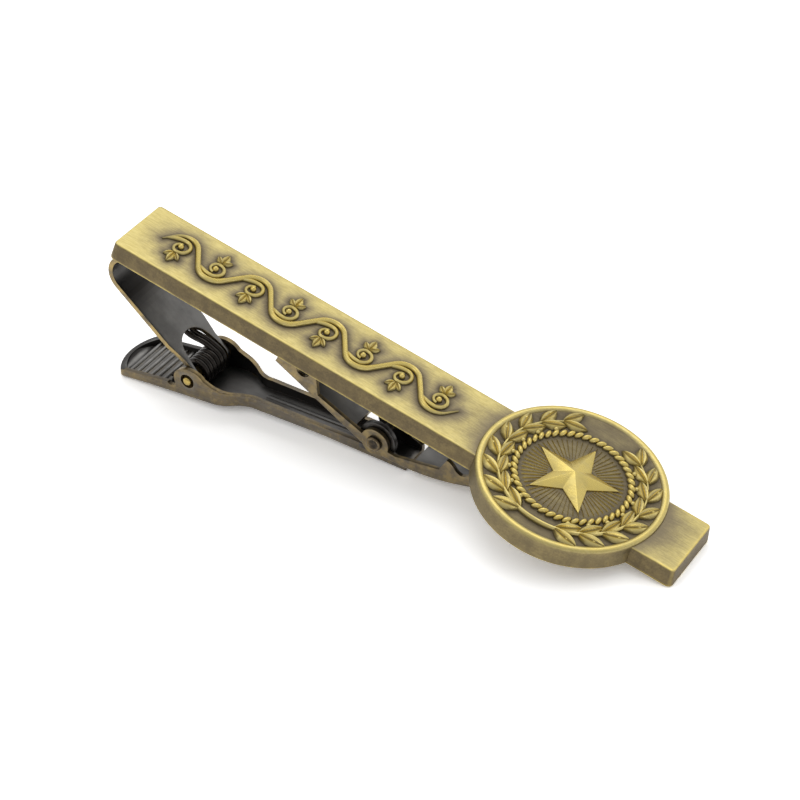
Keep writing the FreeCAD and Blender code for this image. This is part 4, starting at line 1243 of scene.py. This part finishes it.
springPath, springLength = springLine(spring)
springMesh = sweep([springPath], spring["rod"], 0.0, springSteel)
springPiece = joined("torsionSpring", [springMesh], place=leverToPart)
finish(springPiece, None, "spring_wire", springSteel, "torsion_spring")
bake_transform(springPiece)


# Stage: white floor that keeps the shadow, soft light from above and behind, and the camera

stage = {"floorSize": 1.6, "floorDrop": 0.00001, "paper": 0.80, "seenPaper": 1.5, "floorLift": 0.12,
         "horizon": 0.60, "sky": 0.72, "skySpan": (0.0, 0.8), "back": 0.22, "backSpan": (-0.1, 0.9)}
# Place, size and power
lamps = {"keyLight": ((-0.06, 0.17, 0.45), 0.40, 0.42), "fillLight": ((-0.30, -0.30, 0.35), 0.3, 0.18)}
cameraView = {"place": (0.10021, -0.15380, 0.14741), "turn": (52.448, 1.382, 31.871), "lens": 115.0,
              "sensor": 36.0, "nearest": 0.01}


def makeFloor(spec):
    bm = bmesh.new()
    bmesh.ops.create_grid(bm, x_segments=1, y_segments=1, size=spec["floorSize"] / 2)
    floor = objectFrom(bm, "floor", Matrix.Translation((0, 0, -spec["floorDrop"])))
    material = bpy.data.materials.new("paperFloor")
    tree = clearTree(material)
    path = put(tree, "ShaderNodeLightPath").outputs
    shiny = larger(tree, path["Is Glossy Ray"], path["Is Transmission Ray"])
    seen = larger(tree, path["Is Camera Ray"], shiny)
    white = tint(tree, seen, (spec["paper"],) * 3 + (1,), (spec["seenPaper"],) * 3 + (1,))
    paper = put(tree, "ShaderNodeBsdfDiffuse", {"Color": white}).outputs[0]
    glow = put(tree, "ShaderNodeEmission", {"Strength": times(tree, seen, spec["floorLift"])}).outputs[0]
    both = put(tree, "ShaderNodeAddShader", {0: paper, 1: glow}).outputs[0]
    under = put(tree, "ShaderNodeNewGeometry").outputs["Backfacing"]  # clear from below
    clear = put(tree, "ShaderNodeBsdfTransparent").outputs[0]
    sheet = put(tree, "ShaderNodeMixShader", {0: under, 1: both, 2: clear}).outputs[0]
    put(tree, "ShaderNodeOutputMaterial", {"Surface": sheet})
    floor.data.materials.append(material)
    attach(floor, "lever")  # the clip lies on its lever, so opening it lifts the bar


def makeSky(spec):
    world = bpy.data.worlds.new("softRoom")
    tree = clearTree(world)
    way = put(tree, "ShaderNodeTexCoord").outputs["Generated"]
    part = put(tree, "ShaderNodeSeparateXYZ", {0: way}).outputs
    strength = plus(tree, remap(tree, part["Z"], *spec["skySpan"], spec["horizon"], spec["sky"]),
                    remap(tree, part["Y"], *spec["backSpan"], 0.0, spec["back"]))
    seen = put(tree, "ShaderNodeLightPath").outputs["Is Camera Ray"]
    links = {"Color": (1, 1, 1, 1), "Strength": larger(tree, strength, seen)}
    put(tree, "ShaderNodeOutputWorld", {"Surface": put(tree, "ShaderNodeBackground", links).outputs[0]})
    scene.world = world


def makeLamp(name, place, size, power):
    lamp = bpy.data.lights.new(name, "AREA")
    lamp.shape = "SQUARE"
    lamp.size, lamp.energy = size, power
    holder = addObject(name, lamp)
    holder.location = place
    holder.rotation_euler = (-Vector(place)).to_track_quat("-Z", "Y").to_euler()


def makeCamera(spec):
    lens = bpy.data.cameras.new("photoView")
    lens.lens, lens.sensor_width, lens.clip_start = spec["lens"], spec["sensor"], spec["nearest"]
    camera = addObject("photoView", lens)
    camera.location = spec["place"]
    camera.rotation_euler = [math.radians(angle) for angle in spec["turn"]]
    scene.camera = camera


makeFloor(stage)
makeSky(stage)
for name, settings in lamps.items():
    makeLamp(name, *settings)
makeCamera(cameraView)
